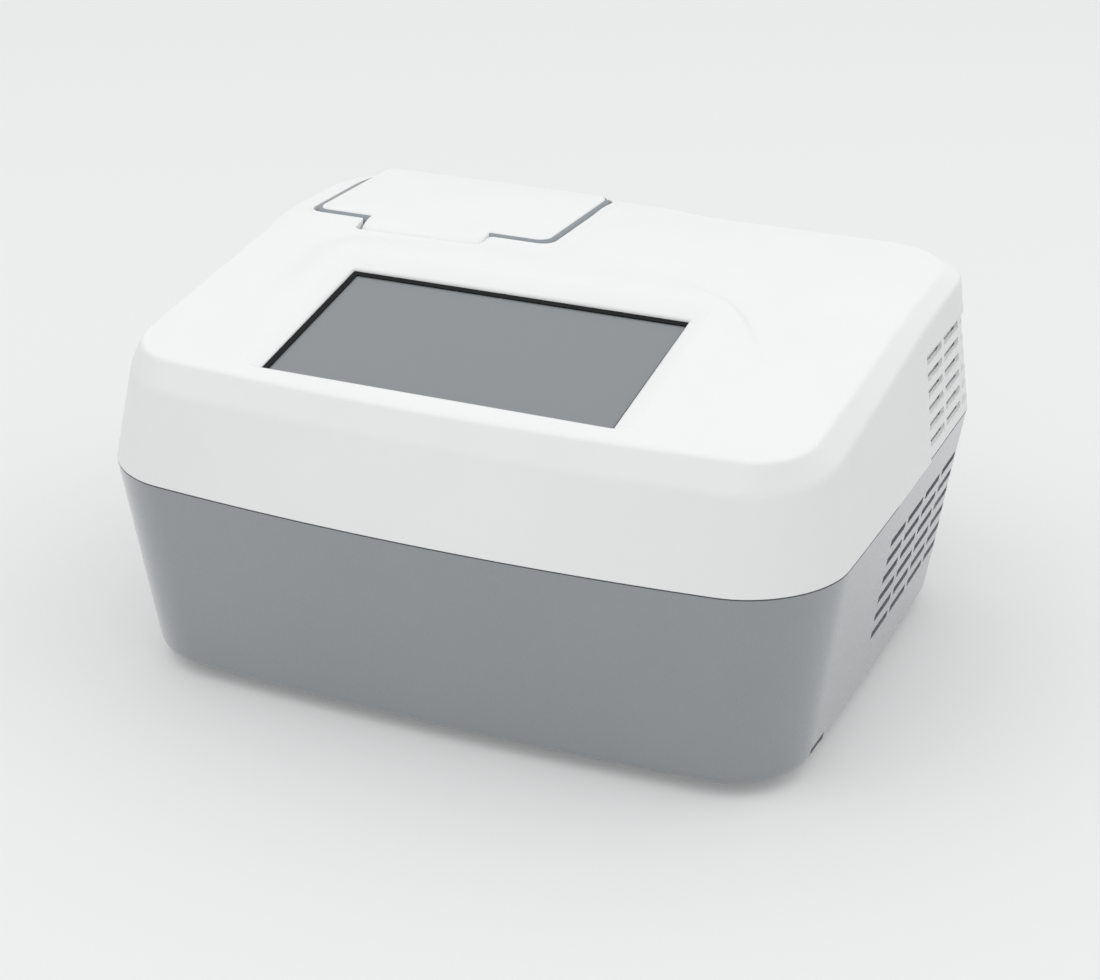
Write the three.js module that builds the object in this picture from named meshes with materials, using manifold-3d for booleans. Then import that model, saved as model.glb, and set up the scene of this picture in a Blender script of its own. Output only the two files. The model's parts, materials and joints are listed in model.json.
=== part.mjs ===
// Bench-top real-time PCR instrument with a tilted touch display and a hinged lid over its sample block.
// Millimetres. X runs to the right, Y to the rear and Z up. The origin is the centre of the
// footprint, on the surface that the rubber feet stand on.

import * as THREE from 'three';
import { mergeVertices } from 'three/addons/utils/BufferGeometryUtils.js';
import Module from 'manifold-3d';

const wasm = await Module();
wasm.setup();

// Driving dimensions of the body
const bodyWidth = 325;
const bodyDepth = 260;
const frontBow = 11.4;
const sideBow = 1.3;
const frontRadius = 38.5;
const rearRadius = 32.5;
const partingHeight = 95.8;
const footHeight = 5;
const seamGap = 0.8;
const housingWall = 2.8;
const fitGap = 0.25;
const touchGap = 0.05;
const runningGap = 0.06;
const overrun = 4;
const skim = 1;
const weldTolerance = 1e-4;

// Ridge of the upper housing, and the top inside it
const ridgeFrontInset = 8.5;
const ridgeSideInset = 6.8;
const ridgeRadius = 33;
const ridgeBow = 6;
const bevelFrontHeight = 11.8;
const bevelRearHeight = 3;
const topFrontInset = 5.9;
const topSideInset = 7.3;
const topRadius = 21.5;
const topFrontHeight = 146;
const topSlopeShare = 0.116;
const slopePastLid = 2.8;
const topBlend = 10;
const topCrown = 6.5;
const raisedStep = 3.1;

// Lower housing
const bottomFrontInset = 11.7;
const bottomSideInset = 12.6;
const bottomRadius = 31;
const bottomBow = 7;
const bottomEdgeRadius = 6;
const floorThickness = 3;

// Display window and the module behind it
const windowWidth = 155;
const windowX = -7.5;
const windowFrontMargin = 18.1;
const windowDeckShare = 0.708;
const windowRecess = 2.4;
const windowLand = 0.8;
const windowSideChamfer = 8.5;
const windowRearChamfer = 9.5;
const flatReach = 22;
const glassMargin = 6;
const glassFrontMargin = 3.4;
const gasketThickness = 0.6;
const gasketShowLeft = 2.5;
const gasketShowRear = 2.5;
const gasketShow = 0.4;
const glassThickness = 1.1;
const panelThickness = 4.5;
const panelSideInset = 2;
const panelFrontInset = 1;
const panelRim = 3;
const panelHollow = 1.2;
const bracketThickness = 1.5;

// Lid and the opening under it
const lidWidth = 112.4;
const lidDepth = 70.4;
const lidSideMargin = 16.8;
const lidRearMargin = 8.9;
const lidRise = 24.3;
const lidCornerRadius = 4;
const coverThickness = 2.5;
const rimReach = 3.6;
const rimRearReach = 0.6;
const rimChamfer = 2.6;
const frameHeight = 10.8;
const frameWall = 2.4;
const webDrop = 4.3;
const webThickness = 2;
const sealHeight = 1.2;
const sealWidth = 1.5;
const sealInset = 0.4;
const lidClearance = 1.2;
const lipWidth = 1.7;
const lipHeight = 0.9;
const deckStart = 6;
const deckReach = 30;
const handleWidth = 60;
const handleReach = 14;
const handleHeight = 8.5;
const handleRadius = 5.5;
const handleRoot = 1;
const notchClearance = 2.2;
const notchTaper = 9;

// Lid hinge
const hingeBehindLid = 4.6;
const hingeDrop = 5.5;
const hingePinRadius = 1.5;
const hingeBarrelRadius = 3;
const hingePinLength = 78;
const hingeLugWidth = 7.4;
const hingeEarWidth = 4;
const hingeSideGap = 0.4;

// Sample block and what it stands on
const wellPitch = 9;
const wellColumns = 8;
const wellRows = 2;
const wellMouthRadius = 2.75;
const wellTipRadius = 1.3;
const wellDepth = 18;
const blockSideMargin = 8.5;
const blockFrontMargin = 9.5;
const blockHeight = 26;
const blockDrop = 21.8;
const blockStand = 10.5;
const pumpThickness = 3.6;
const sinkWidth = 110;
const sinkDepth = 60;
const sinkBase = 7;
const finCount = 13;
const finThickness = 1.6;
const finHeight = 28;
const fanSize = 80;
const fanThickness = 25;
const fanBladeCount = 7;
const ductWidth = 78;
const ductWall = 2;

// Vents in the sides
const ventLength = 23.6;
const ventPitchY = 27.4;
const upperVentColumns = 3;
const upperVentRows = 6;
const upperVentHeight = 3.6;
const upperVentDrop = 7.5;
const upperVentFoot = 3.2;
const upperVentRearMargin = 13.6;
const lowerVentColumns = 5;
const lowerVentRows = 6;
const lowerVentHeight = 3.4;
const lowerVentDrop = 20.3;
const lowerVentFoot = 25.5;
const lowerVentRearMargin = 7.3;
const ventRecess = 1.1;
const recessMargin = 3;

// Rear panel and its recess
const rearPanelDuctGap = 10.1;
const rearPanelHeight = 46;
const rearPanelThickness = 2;
const rearPanelInset = 16;
const rearPanelRise = 42;
const rearPanelOverlap = 8.9;

// Screw bosses of the two housings
const bossRadius = 5;
const bossBore = 1.5;
const bossHeadRadius = 3.2;
const bossHeadHeight = 2.6;
const bossSplitDrop = 7.8;
const bossSeatDepth = 10;
const bossScrewShort = 2;
const bossInset = 16.6;
const bossFrontInset = 32.6;
const bossRearInset = 38;
const bossSinkGap = 1.9;
const bossLidGap = 17.3;

const halfWidth = bodyWidth / 2 - sideBow;
const frontLine = -bodyDepth / 2 + frontBow;
const rearLine = bodyDepth / 2;
const topFrontLine = frontLine + ridgeFrontInset + topFrontInset;
const topRearLine = rearLine - ridgeFrontInset - topFrontInset;
const topHalfWidth = halfWidth - ridgeSideInset - topSideInset;
const lidX = -topHalfWidth + lidSideMargin + lidWidth / 2;
const lidFrontY = topRearLine - lidRearMargin - lidDepth;
const lidTopZ = topFrontHeight + lidRise;
const topSlopeLength = lidFrontY + slopePastLid - topFrontLine;
const windowFrontY = frontLine + windowFrontMargin;
const windowDepth = windowDeckShare * (lidFrontY - handleReach - notchClearance - windowFrontY);
const hingeY = lidFrontY + lidDepth + hingeBehindLid;
const hingeZ = lidTopZ - hingeDrop;
const frameBottomZ = lidTopZ - coverThickness - frameHeight;
const blockX = lidX;
const blockWidth = (wellColumns - 1) * wellPitch + 2 * blockSideMargin;
const blockDepth = (wellRows - 1) * wellPitch + 2 * blockFrontMargin;
const blockY = lidFrontY + lidDepth / 2;
const blockTopZ = lidTopZ - blockDrop;
const sinkTopZ = blockTopZ - blockHeight - pumpThickness - 2 * fitGap;
const sinkBottomZ = sinkTopZ - sinkBase;
const trayFloorZ = blockTopZ - blockStand;
const trayFloorThickness = 3;
const floorZ = footHeight + floorThickness;
const bossSplitZ = partingHeight - bossSplitDrop;
const bossHeadZ = bossSplitZ - bossSeatDepth;
const upperVentTopZ = topFrontHeight - upperVentDrop;
const upperVentPitchZ = (upperVentTopZ - partingHeight - upperVentFoot) / (upperVentRows - 1);
const lowerVentTopZ = partingHeight - lowerVentDrop;
const lowerVentPitchZ = (lowerVentTopZ - footHeight - lowerVentFoot) / (lowerVentRows - 1);
const upperRecessFrontY = rearLine - upperVentRearMargin - (upperVentColumns - 1) * ventPitchY - ventLength;
const lowerRecessFrontY = rearLine - lowerVentRearMargin - (lowerVentColumns - 1) * ventPitchY - ventLength;
const rearPanelRight = halfWidth - bottomSideInset - rearRadius + rearPanelOverlap;
const rearPanelLeft = blockX + ductWidth / 2 + rearPanelDuctGap;
const rearPanelWidth = rearPanelRight - rearPanelLeft;
const rearPanelX = (rearPanelLeft + rearPanelRight) / 2;
const rearPanelY = rearLine - rearPanelInset;
const rearPanelZ = footHeight + rearPanelRise;

// Facets of the outlines: of a corner, the front, a side and the rear
const crownSteps = [5, 8, 5, 3];
const skirtSteps = [5, 8, 3, 1];
const innerCrownSteps = [3, 5, 3, 2];
const innerSkirtSteps = [3, 5, 2, 1];
const roundSides = 20;
const smallSides = 10;
const opticsSides = 12;
const fanSides = 28;
const wellSides = 10;
const capShares = [1, 0.93, 0.8, 0.58];
const innerCapShares = [1, 0.75];

const pieces = new THREE.Group();

// Finishes
const whiteShell = { color: 0xf1f2f2, roughness: 0.42, metalness: 0 };
const greyShell = { color: 0x8f9498, roughness: 0.5, metalness: 0 };
const rimGrey = { color: 0x979ea2, roughness: 0.45, metalness: 0 };
const blackPlastic = { color: 0x1b1c1e, roughness: 0.5, metalness: 0 };
const blackRubber = { color: 0x202224, roughness: 0.8, metalness: 0 };
const displayGrey = { color: 0x94989a, roughness: 0.35, metalness: 0 };
const machinedAluminium = { color: 0xc3c6c9, roughness: 0.35, metalness: 1 };
const brightSteel = { color: 0xb9bcbf, roughness: 0.28, metalness: 1 };
const sheetSteel = { color: 0xa6a9ac, roughness: 0.45, metalness: 1 };
const brass = { color: 0xb9975b, roughness: 0.35, metalness: 1 };
const boardGreen = { color: 0x24573a, roughness: 0.55, metalness: 0 };
const ceramicWhite = { color: 0xe2e0d8, roughness: 0.6, metalness: 0 };
const matOrange = { color: 0xb5622a, roughness: 0.5, metalness: 0 };
const foamBlack = { color: 0x3d3f42, roughness: 0.95, metalness: 0 };
const siliconeGrey = { color: 0x6c7073, roughness: 0.75, metalness: 0 };
const lensGlass = { color: 0x3a4d63, roughness: 0.08, metalness: 0 };

// A closed geometry as a solid for joining and cutting
function solidOf(geometry) {
  const bare = geometry.clone();
  bare.deleteAttribute('normal');
  bare.deleteAttribute('uv');
  const welded = mergeVertices(bare, weldTolerance);
  const vertProperties = Float32Array.from(welded.attributes.position.array);
  const triVerts = Uint32Array.from(welded.index.array);
  return new wasm.Manifold(new wasm.Mesh({ numProp: 3, vertProperties, triVerts }));
}

function geometryOf(solid) {
  const mesh = solid.getMesh();
  const geometry = new THREE.BufferGeometry();
  geometry.setAttribute('position', new THREE.BufferAttribute(Float32Array.from(mesh.vertProperties), 3));
  geometry.setIndex(Array.from(mesh.triVerts));
  geometry.computeVertexNormals();
  return geometry;
}

function join(...solids) {
  return solids.reduce((sum, solid) => sum.add(solid));
}

function cut(solid, ...tools) {
  return tools.reduce((rest, tool) => rest.subtract(tool), solid);
}

function addPiece(name, solid, finish, group = pieces) {
  const mesh = new THREE.Mesh(geometryOf(solid), new THREE.MeshStandardMaterial(finish));
  mesh.name = name;
  group.add(mesh);
  return mesh;
}

// A box between two corners
function slab([x0, x1], [y0, y1], [z0, z1]) {
  const geometry = new THREE.BoxGeometry(x1 - x0, y1 - y0, z1 - z0);
  geometry.translate((x0 + x1) / 2, (y0 + y1) / 2, (z0 + z1) / 2);
  return solidOf(geometry);
}

// A box centred on x and y, standing on z
function block(width, depth, height, x, y, z) {
  return slab([x - width / 2, x + width / 2], [y - depth / 2, y + depth / 2], [z, z + height]);
}

// A round bar from one end's centre along an axis; its end radii may differ
function bar(axis, startRadius, endRadius, length, [x, y, z], sides = smallSides) {
  const geometry = new THREE.CylinderGeometry(endRadius, startRadius, length, sides);
  geometry.translate(0, length / 2, 0);
  if (axis === 'x') geometry.rotateZ(-Math.PI / 2);
  if (axis === 'z') geometry.rotateX(Math.PI / 2);
  geometry.translate(x, y, z);
  return solidOf(geometry);
}

// Radius of a faceted bore in which a faceted shaft can turn: the shaft's corners clear its flats
function turningBore(shaftRadius, sides = smallSides) {
  return (shaftRadius + runningGap) / Math.cos(Math.PI / sides);
}

function roundedShape(width, depth, radius, x = 0, y = 0) {
  const right = x + width / 2;
  const left = x - width / 2;
  const rear = y + depth / 2;
  const front = y - depth / 2;
  const shape = new THREE.Shape();
  shape.moveTo(left + radius, front);
  shape.lineTo(right - radius, front);
  shape.absarc(right - radius, front + radius, radius, -Math.PI / 2, 0);
  shape.lineTo(right, rear - radius);
  shape.absarc(right - radius, rear - radius, radius, 0, Math.PI / 2);
  shape.lineTo(left + radius, rear);
  shape.absarc(left + radius, rear - radius, radius, Math.PI / 2, Math.PI);
  shape.lineTo(left, front + radius);
  shape.absarc(left + radius, front + radius, radius, Math.PI, Math.PI * 1.5);
  return shape;
}

function prism(shape, z0, z1) {
  const geometry = new THREE.ExtrudeGeometry(shape, { depth: z1 - z0, bevelEnabled: false, curveSegments: 3 });
  geometry.translate(0, 0, z0);
  return solidOf(geometry);
}

// A shape drawn in Y and Z and drawn out along X
function prismAlongX(shape, x0, x1) {
  const geometry = new THREE.ExtrudeGeometry(shape, { depth: x1 - x0, bevelEnabled: false, curveSegments: 3 });
  geometry.applyMatrix4(new THREE.Matrix4().set(0, 0, 1, x0, 1, 0, 0, 0, 0, 1, 0, 0, 0, 0, 0, 1));
  return solidOf(geometry);
}

function polygon(points) {
  return new THREE.Shape(points.map(([x, y]) => new THREE.Vector2(x, y)));
}

// A closed body through rings of equal point count, from the lowest to the highest
function loft(rings, bottomCentre, topCentre) {
  const count = rings[0].length;
  const positions = [...rings.flat(2), ...bottomCentre, ...topCentre];
  const bottom = rings.length * count;
  const index = [];
  for (let ring = 0; ring < rings.length - 1; ring++) {
    for (let i = 0; i < count; i++) {
      const a = ring * count + i;
      const b = ring * count + ((i + 1) % count);
      index.push(a, b, b + count, a, b + count, a + count);
    }
  }
  const last = (rings.length - 1) * count;
  for (let i = 0; i < count; i++) {
    const next = (i + 1) % count;
    index.push(next, i, bottom, last + i, last + next, bottom + 1);
  }
  const geometry = new THREE.BufferGeometry();
  geometry.setAttribute('position', new THREE.Float32BufferAttribute(positions, 3));
  geometry.setIndex(index);
  return solidOf(geometry);
}

// A plan outline with round corners, a bowed front and slightly bowed sides
function outline({ side, front, rear, frontR, rearR, bow, bulge, steps }) {
  const [cornerSteps, frontSteps, sideSteps, rearSteps] = steps;
  const points = [];
  const corners = [
    [-side + frontR, front + frontR, frontR, Math.PI, frontSteps],
    [side - frontR, front + frontR, frontR, Math.PI * 1.5, sideSteps],
    [side - rearR, rear - rearR, rearR, 0, rearSteps],
    [-side + rearR, rear - rearR, rearR, Math.PI / 2, sideSteps],
  ];
  const onCorner = ([x, y, radius, start], share) => {
    const angle = start + (share * Math.PI) / 2;
    return [x + radius * Math.cos(angle), y + radius * Math.sin(angle)];
  };
  corners.forEach((corner, i) => {
    for (let step = 0; step <= cornerSteps; step++) points.push(onCorner(corner, step / cornerSteps));
    const from = onCorner(corner, 1);
    const to = onCorner(corners[(i + 1) % corners.length], 0);
    for (let step = 1; step < corner[4]; step++) {
      const share = step / corner[4];
      points.push([from[0] + (to[0] - from[0]) * share, from[1] + (to[1] - from[1]) * share]);
    }
  });
  const middle = (front + rear) / 2;
  const half = (rear - front) / 2;
  return points.map(([x, y]) => {
    const frontShare = THREE.MathUtils.clamp((middle - y) / half, 0, 1);
    const across = Math.abs(x) / side;
    const along = (y - middle) / half;
    return [
      x + Math.sign(x) * bulge * (1 - along ** 2) * across,
      y - bow * (1 - across ** 2) * frontShare,
    ];
  });
}

// How far the top has risen at y above its front edge: a slope that runs out level
function rise(y) {
  const level = (u) => u - topBlend * Math.log1p(Math.exp((u - topSlopeLength) / topBlend));
  return topSlopeShare * (level(y - topFrontLine) - level(0));
}

function topShare(y) {
  return THREE.MathUtils.clamp((y - topFrontLine) / (topRearLine - topFrontLine), 0, 1);
}

function topHeight(x, y) {
  const along = topShare(y);
  const across = THREE.MathUtils.clamp(Math.abs(x) / topHalfWidth, 0, 1);
  return topFrontHeight + rise(y) + topCrown * (1 - across ** 2) * 4 * along * (1 - along);
}

// Share of the level deck at a point: whole beside the lid, none farther off
function deckShare(x, y) {
  const dx = Math.max(Math.abs(x - lidX) - lidWidth / 2, 0);
  const dy = Math.max(lidFrontY - y, y - lidFrontY - lidDepth / 2, 0);
  const away = Math.hypot(dx, Math.min(dy, deckReach));
  return 1 - THREE.MathUtils.smoothstep(away, deckStart, deckReach);
}

// The left and middle of the top stand a little proud of its right part
function proudHeight(x, y) {
  const along = THREE.MathUtils.clamp((y - topFrontLine) / topSlopeLength, 0, 1);
  return topHeight(x, y) + raisedStep * along;
}

// Round the window the raised part is flat, in the plane of the window's front and rear edge
const windowFrontZ = proudHeight(windowX, windowFrontY);
const windowRearZ = proudHeight(windowX, windowFrontY + windowDepth);
const displayTilt = Math.atan2(windowRearZ - windowFrontZ, windowDepth);

function flatShare(x, y) {
  const dx = Math.max(Math.abs(x - windowX) - windowWidth / 2 - windowSideChamfer, 0);
  const rearY = windowFrontY + windowDepth + windowRearChamfer;
  const dy = Math.max(windowFrontY - y, y - rearY, 0);
  return 1 - THREE.MathUtils.smoothstep(Math.hypot(dx, dy), 0, flatReach);
}

// Height of the raised part: flat round the window and level round the lid
function raisedHeight(x, y) {
  const proud = proudHeight(x, y);
  const plane = windowFrontZ + (y - windowFrontY) * Math.tan(displayTilt);
  const height = proud + (plane - proud) * flatShare(x, y);
  return height + (lidTopZ - rimChamfer - height) * deckShare(x, y);
}

// Ring of the lower housing's wall at a height, moved in by an inset
function skirtRing(z, inset, steps) {
  const share = (z - footHeight) / (partingHeight - footHeight);
  const lean = 1 - share;
  return outline({
    side: halfWidth - bottomSideInset * lean - inset,
    front: frontLine + bottomFrontInset * lean + inset,
    rear: rearLine - bottomFrontInset * lean - inset,
    frontR: bottomRadius + (frontRadius - bottomRadius) * share - inset,
    rearR: rearRadius - inset,
    bow: bottomBow + (frontBow - bottomBow) * share,
    bulge: sideBow,
    steps,
  }).map(([x, y]) => [x, y, z]);
}

// The lower housing's outer form, moved in by an inset and cut flat at its floor and rim
function skirtBody(inset, z0, z1, edgeSteps = 3, steps = skirtSteps) {
  const rings = [];
  const edge = Math.max(bottomEdgeRadius - inset, inset > 0 ? skim : bottomEdgeRadius);
  for (let step = 0; step <= edgeSteps; step++) {
    const angle = (step / edgeSteps) * (Math.PI / 2);
    const inward = edge * (1 - Math.sin(angle));
    rings.push(skirtRing(z0 + edge * (1 - Math.cos(angle)), inset + inward, steps));
  }
  rings.push(skirtRing(z1, inset, steps));
  return loft(rings, [0, 0, z0], [0, 0, z1]);
}

// The upper housing's outer form, moved in by an inset, with its top from a height function
function crownBody(inset, z0, heightAt, shares = capShares) {
  const steps = shares === innerCapShares ? innerCrownSteps : crownSteps;
  const wall = { rearR: rearRadius - inset, bulge: sideBow, steps };
  const parting = outline({
    ...wall,
    side: halfWidth - inset,
    front: frontLine + inset,
    rear: rearLine - inset,
    frontR: frontRadius - inset,
    bow: frontBow,
  });
  const ridge = outline({
    ...wall,
    side: halfWidth - ridgeSideInset - inset,
    front: frontLine + ridgeFrontInset + inset,
    rear: rearLine - ridgeFrontInset - inset,
    frontR: ridgeRadius - inset,
    bow: ridgeBow,
  });
  const rim = outline({
    ...wall,
    side: topHalfWidth - inset,
    front: topFrontLine + inset,
    rear: topRearLine - inset,
    frontR: topRadius - inset / 2,
    bow: ridgeBow,
  });
  const bevelAt = (y) => bevelFrontHeight + (bevelRearHeight - bevelFrontHeight) * topShare(y);
  const ridgeZ = (y) => topFrontHeight + rise(y) - bevelAt(y) - inset / 2;
  const middleY = (topFrontLine + topRearLine) / 2;
  const capRing = (share) => rim.map(([x, y]) => {
    const px = x * share;
    const py = middleY + (y - middleY) * share;
    return [px, py, heightAt(px, py) - inset];
  });
  const rings = [
    parting.map(([x, y]) => [x, y, z0]),
    ridge.map(([x, y]) => [x, y, ridgeZ(y)]),
    ...shares.map(capRing),
  ];
  return loft(rings, [0, 0, z0], [0, middleY, heightAt(0, middleY) - inset]);
}

// Plan region of the raised part of the top; its right edge swings out round the display
function raisedRegion(z0, z1) {
  const edgeShares = [
    [0.1, 1.1], [0.112, 0.93], [0.14, 0.63], [0.19, 0.38], [0.27, 0.21], [0.39, 0.1],
    [0.55, -0.03], [0.66, -0.22], [0.7, -0.45], [0.72, -0.7], [0.72, -1.1],
  ];
  const edge = new THREE.SplineCurve(
    edgeShares.map(([x, y]) => new THREE.Vector2((x * bodyWidth) / 2, (y * bodyDepth) / 2)),
  );
  const points = edge.getPoints(edgeShares.length * 2).map((p) => [p.x, p.y]);
  points.push([-bodyWidth, points[points.length - 1][1]], [-bodyWidth, points[0][1]]);
  return prism(polygon(points.reverse()), z0, z1);
}

// Frame of the display: origin on the middle of the window's front edge, Z square to the glass
const displayFrame = new THREE.Matrix4()
  .makeTranslation(windowX, windowFrontY, windowFrontZ)
  .multiply(new THREE.Matrix4().makeRotationX(displayTilt));

function rectangleRing([x0, x1], [y0, y1], z) {
  return [[x0, y0, z], [x1, y0, z], [x1, y1, z], [x0, y1, z]];
}

function inDisplayFrame(geometrySolid) {
  return geometrySolid.transform(displayFrame.elements);
}

// The window with its chamfered sides and rear; its front edge drops straight
function windowTool() {
  const half = windowWidth / 2;
  const land = windowLand - windowRecess;
  const above = overrun / 2;
  const side = (windowSideChamfer * (above - land)) / -land;
  const rear = (windowRearChamfer * (above - land)) / -land;
  const inner = (z) => rectangleRing([-half, half], [0, windowDepth], z);
  const outer = rectangleRing([-half - side, half + side], [0, windowDepth + rear], above);
  const rings = [inner(-windowRecess - 3 * overrun), inner(land), outer];
  return inDisplayFrame(loft(rings, [0, windowDepth / 2, rings[0][0][2]], [0, windowDepth / 2, above]));
}

// Plan shapes of the lid's opening and of the notch in front of it, grown by a margin
function lidOpening(margin) {
  const width = lidWidth + 2 * (rimReach + lidClearance + margin);
  const depth = lidDepth + rimReach + rimRearReach + 2 * (lidClearance + margin);
  const y = lidFrontY - rimReach - lidClearance - margin + depth / 2;
  return roundedShape(width, depth, lidCornerRadius + rimReach + margin, lidX, y);
}

function notchOutline(margin) {
  const half = handleWidth / 2 + notchClearance + margin;
  const front = lidFrontY - handleReach - notchClearance - margin;
  const rear = lidFrontY + overrun;
  return polygon([
    [lidX - half, front],
    [lidX + half, front],
    [lidX + half + notchTaper / 2, front + notchTaper],
    [lidX + half + notchTaper / 2, rear],
    [lidX - half - notchTaper / 2, rear],
    [lidX - half - notchTaper / 2, front + notchTaper],
  ]);
}

// Slots in both side walls, as rows and columns from the front of their recess
function ventTools(columns, rows, firstY, topZ, pitchZ, height) {
  const tools = [];
  const inner = halfWidth - ridgeSideInset - bottomSideInset - overrun;
  for (const sign of [-1, 1]) {
    const across = sign > 0 ? [inner, halfWidth + overrun] : [-halfWidth - overrun, -inner];
    for (let column = 0; column < columns; column++) {
      const y0 = firstY + column * ventPitchY;
      for (let row = 0; row < rows; row++) {
        const z = topZ - row * pitchZ;
        tools.push(slab(across, [y0, y0 + ventLength], [z - height / 2, z + height / 2]));
      }
    }
  }
  return tools;
}

const displayBackDepth = windowRecess + gasketThickness + glassThickness + panelThickness + 2 * fitGap;
const screwHeadHeight = 1.8;
const screwHeadRadius = 2.8;
const screwHeadTaper = 0.4;
const displayScrewLength = 8;
const bossSideX = halfWidth - bottomSideInset - bossInset;
const bossPlaces = [
  [-bossSideX, frontLine + bossFrontInset],
  [bossSideX, frontLine + bossFrontInset],
  [blockX - sinkWidth / 2 - bossRadius - bossSinkGap, lidFrontY - bossLidGap],
  [bossSideX, rearLine - bossRearInset],
];
const hingeSpan = [lidX - hingePinLength / 2, lidX + hingePinLength / 2];
const hingePadZ = hingeZ - hingeBarrelRadius - fitGap;
const openingHalfWidth = lidWidth / 2 + rimReach + lidClearance;
const openingRearY = lidFrontY + lidDepth + rimRearReach + lidClearance;
const seamRim = partingHeight + seamGap / 2;

function displayBossPlaces() {
  const x = windowWidth / 2 + glassMargin + bossRadius;
  const y0 = bossRadius;
  const y1 = windowDepth - bossRadius;
  return [[-x, y0], [x, y0], [-x, y1], [x, y1]];
}

function hingeEars() {
  const footZ = hingePadZ - housingWall * 1.5;
  return [-1, 1].map((sign) => {
    const x = lidX + sign * (hingePinLength / 2 - hingeEarWidth / 2);
    const foot = block(hingeEarWidth, 2 * hingeBarrelRadius, hingeZ - footZ, x, hingeY, footZ);
    const eye = bar('x', hingeBarrelRadius, hingeBarrelRadius, hingeEarWidth, [x - hingeEarWidth / 2, hingeY, hingeZ]);
    return join(eye, foot);
  });
}

// A tube that carries a screw, from a height up into the roof
function roofBosses(roofBody) {
  const bore = bossBore + runningGap;
  return bossPlaces.map(([x, y]) => {
    const post = bar('z', bossRadius, bossRadius, lidTopZ, [x, y, bossSplitZ + fitGap]).intersect(roofBody);
    return cut(post, bar('z', bore, bore, partingHeight - bossHeadZ, [x, y, bossHeadZ]));
  });
}

function displayBosses(roofBody) {
  const radius = bossRadius - housingWall / 3;
  return displayBossPlaces().map(([x, y]) => {
    const post = inDisplayFrame(bar('z', radius, radius, displayBackDepth, [x, y, -displayBackDepth]));
    return post.intersect(roofBody);
  });
}

function displayBores() {
  const bore = bossBore + runningGap;
  const height = displayScrewLength - 2 * bracketThickness;
  return displayBossPlaces().map(([x, y]) => inDisplayFrame(bar('z', bore, bore, height, [x, y, -displayBackDepth - fitGap])));
}

function glassRoom() {
  const halfX = windowWidth / 2 + glassMargin + fitGap;
  const y = [-glassFrontMargin - fitGap, windowDepth + glassMargin + fitGap];
  return inDisplayFrame(slab([-halfX, halfX], y, [-3 * overrun, -windowRecess]));
}

function sideRecess(frontY, z, skin) {
  const across = topHalfWidth - topRadius;
  const all = slab([-bodyWidth, bodyWidth], [frontY - recessMargin, bodyDepth], z);
  return cut(all, skin, slab([-across, across], [-bodyDepth, bodyDepth], [0, lidTopZ + overrun]));
}

function upperHousing() {
  const tall = [partingHeight, lidTopZ + overrun];
  const raised = crownBody(0, seamRim, raisedHeight).intersect(raisedRegion(...tall));
  const shell = join(crownBody(0, seamRim, topHeight), raised);
  const hollow = crownBody(housingWall, seamRim - seamGap, topHeight, innerCapShares);
  const lipPlan = join(prism(lidOpening(lipWidth), ...tall), prism(notchOutline(lipWidth), ...tall));
  const lip = crownBody(-lipHeight, seamRim, raisedHeight).intersect(lipPlan);
  const padX = [lidX - openingHalfWidth - housingWall, lidX + openingHalfWidth + housingWall];
  const padY = [hingeY - 2 * hingeBarrelRadius, hingeY + 3 * hingeBarrelRadius];
  const pad = slab(padX, padY, [hingePadZ - 2 * housingWall, hingePadZ]);
  const pocket = slab(hingeSpan, [hingeY - 3 * hingeBarrelRadius, rearLine], [hingePadZ, tall[1]]);
  const relief = frameRearReach + lidClearance / 2;
  const groove = bar('x', relief, relief, 2 * openingHalfWidth, [lidX - openingHalfWidth, hingeY, hingeZ], roundSides);
  const roof = cut(join(shell, lip), hollow.subtract(pad), pocket, groove);
  const roofBody = crownBody(housingWall / 2, seamRim, topHeight, innerCapShares);
  const carried = join(roof, ...roofBosses(roofBody), ...displayBosses(roofBody));
  const recessZ = [partingHeight - overrun, upperVentTopZ + upperVentHeight / 2 + recessMargin];
  const bore = hingePinRadius + runningGap;
  return cut(
    join(cut(carried, windowTool(), glassRoom()), ...hingeEars()),
    prism(lidOpening(0), ...tall),
    prism(notchOutline(0), ...tall),
    ...displayBores(),
    bar('x', bore, bore, hingePinLength + 2 * fitGap, [hingeSpan[0] - fitGap, hingeY, hingeZ]),
    sideRecess(upperRecessFrontY, recessZ, crownBody(ventRecess, seamRim - overrun, topHeight)),
    ...ventTools(upperVentColumns, upperVentRows, upperRecessFrontY, upperVentTopZ, upperVentPitchZ, upperVentHeight),
  );
}

// Radius that the lid's rear wall sweeps about the hinge
const frameRearReach = Math.hypot(
  hingeY - lidFrontY - lidDepth - rimRearReach,
  lidTopZ - coverThickness - hingeZ,
);

// Main board on its posts, and the card slot in the right wall
const boardWidth = 130;
const boardSideMargin = 25.6;
const boardFrontMargin = 26.6;
const boardToDuct = 24.5;
const boardDepth = blockY - ductWidth / 2 - boardToDuct - frontLine - boardFrontMargin;
const boardX = -halfWidth + bottomSideInset + boardSideMargin + boardWidth / 2;
const boardY = frontLine + boardFrontMargin + boardDepth / 2;
const boardThickness = 1.6;
const boardPostHeight = 6;
const boardPostInset = 6;
const boardPostFoot = 4;
const boardPostHead = 3;
const cardSlotInset = 45.6;
const cardSlotLength = 15;
const cardSlotRise = 0.5;
const cardSlotHeight = 3;

function boardPosts() {
  const height = boardPostHeight + floorThickness / 2;
  const z = floorZ - floorThickness / 2;
  return [-1, 1].flatMap((sx) => [-1, 1].map((sy) => {
    const x = boardX + sx * (boardWidth / 2 - boardPostInset);
    const y = boardY + sy * (boardDepth / 2 - boardPostInset);
    return bar('z', boardPostFoot, boardPostHead, height, [x, y, z]);
  }));
}

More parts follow.
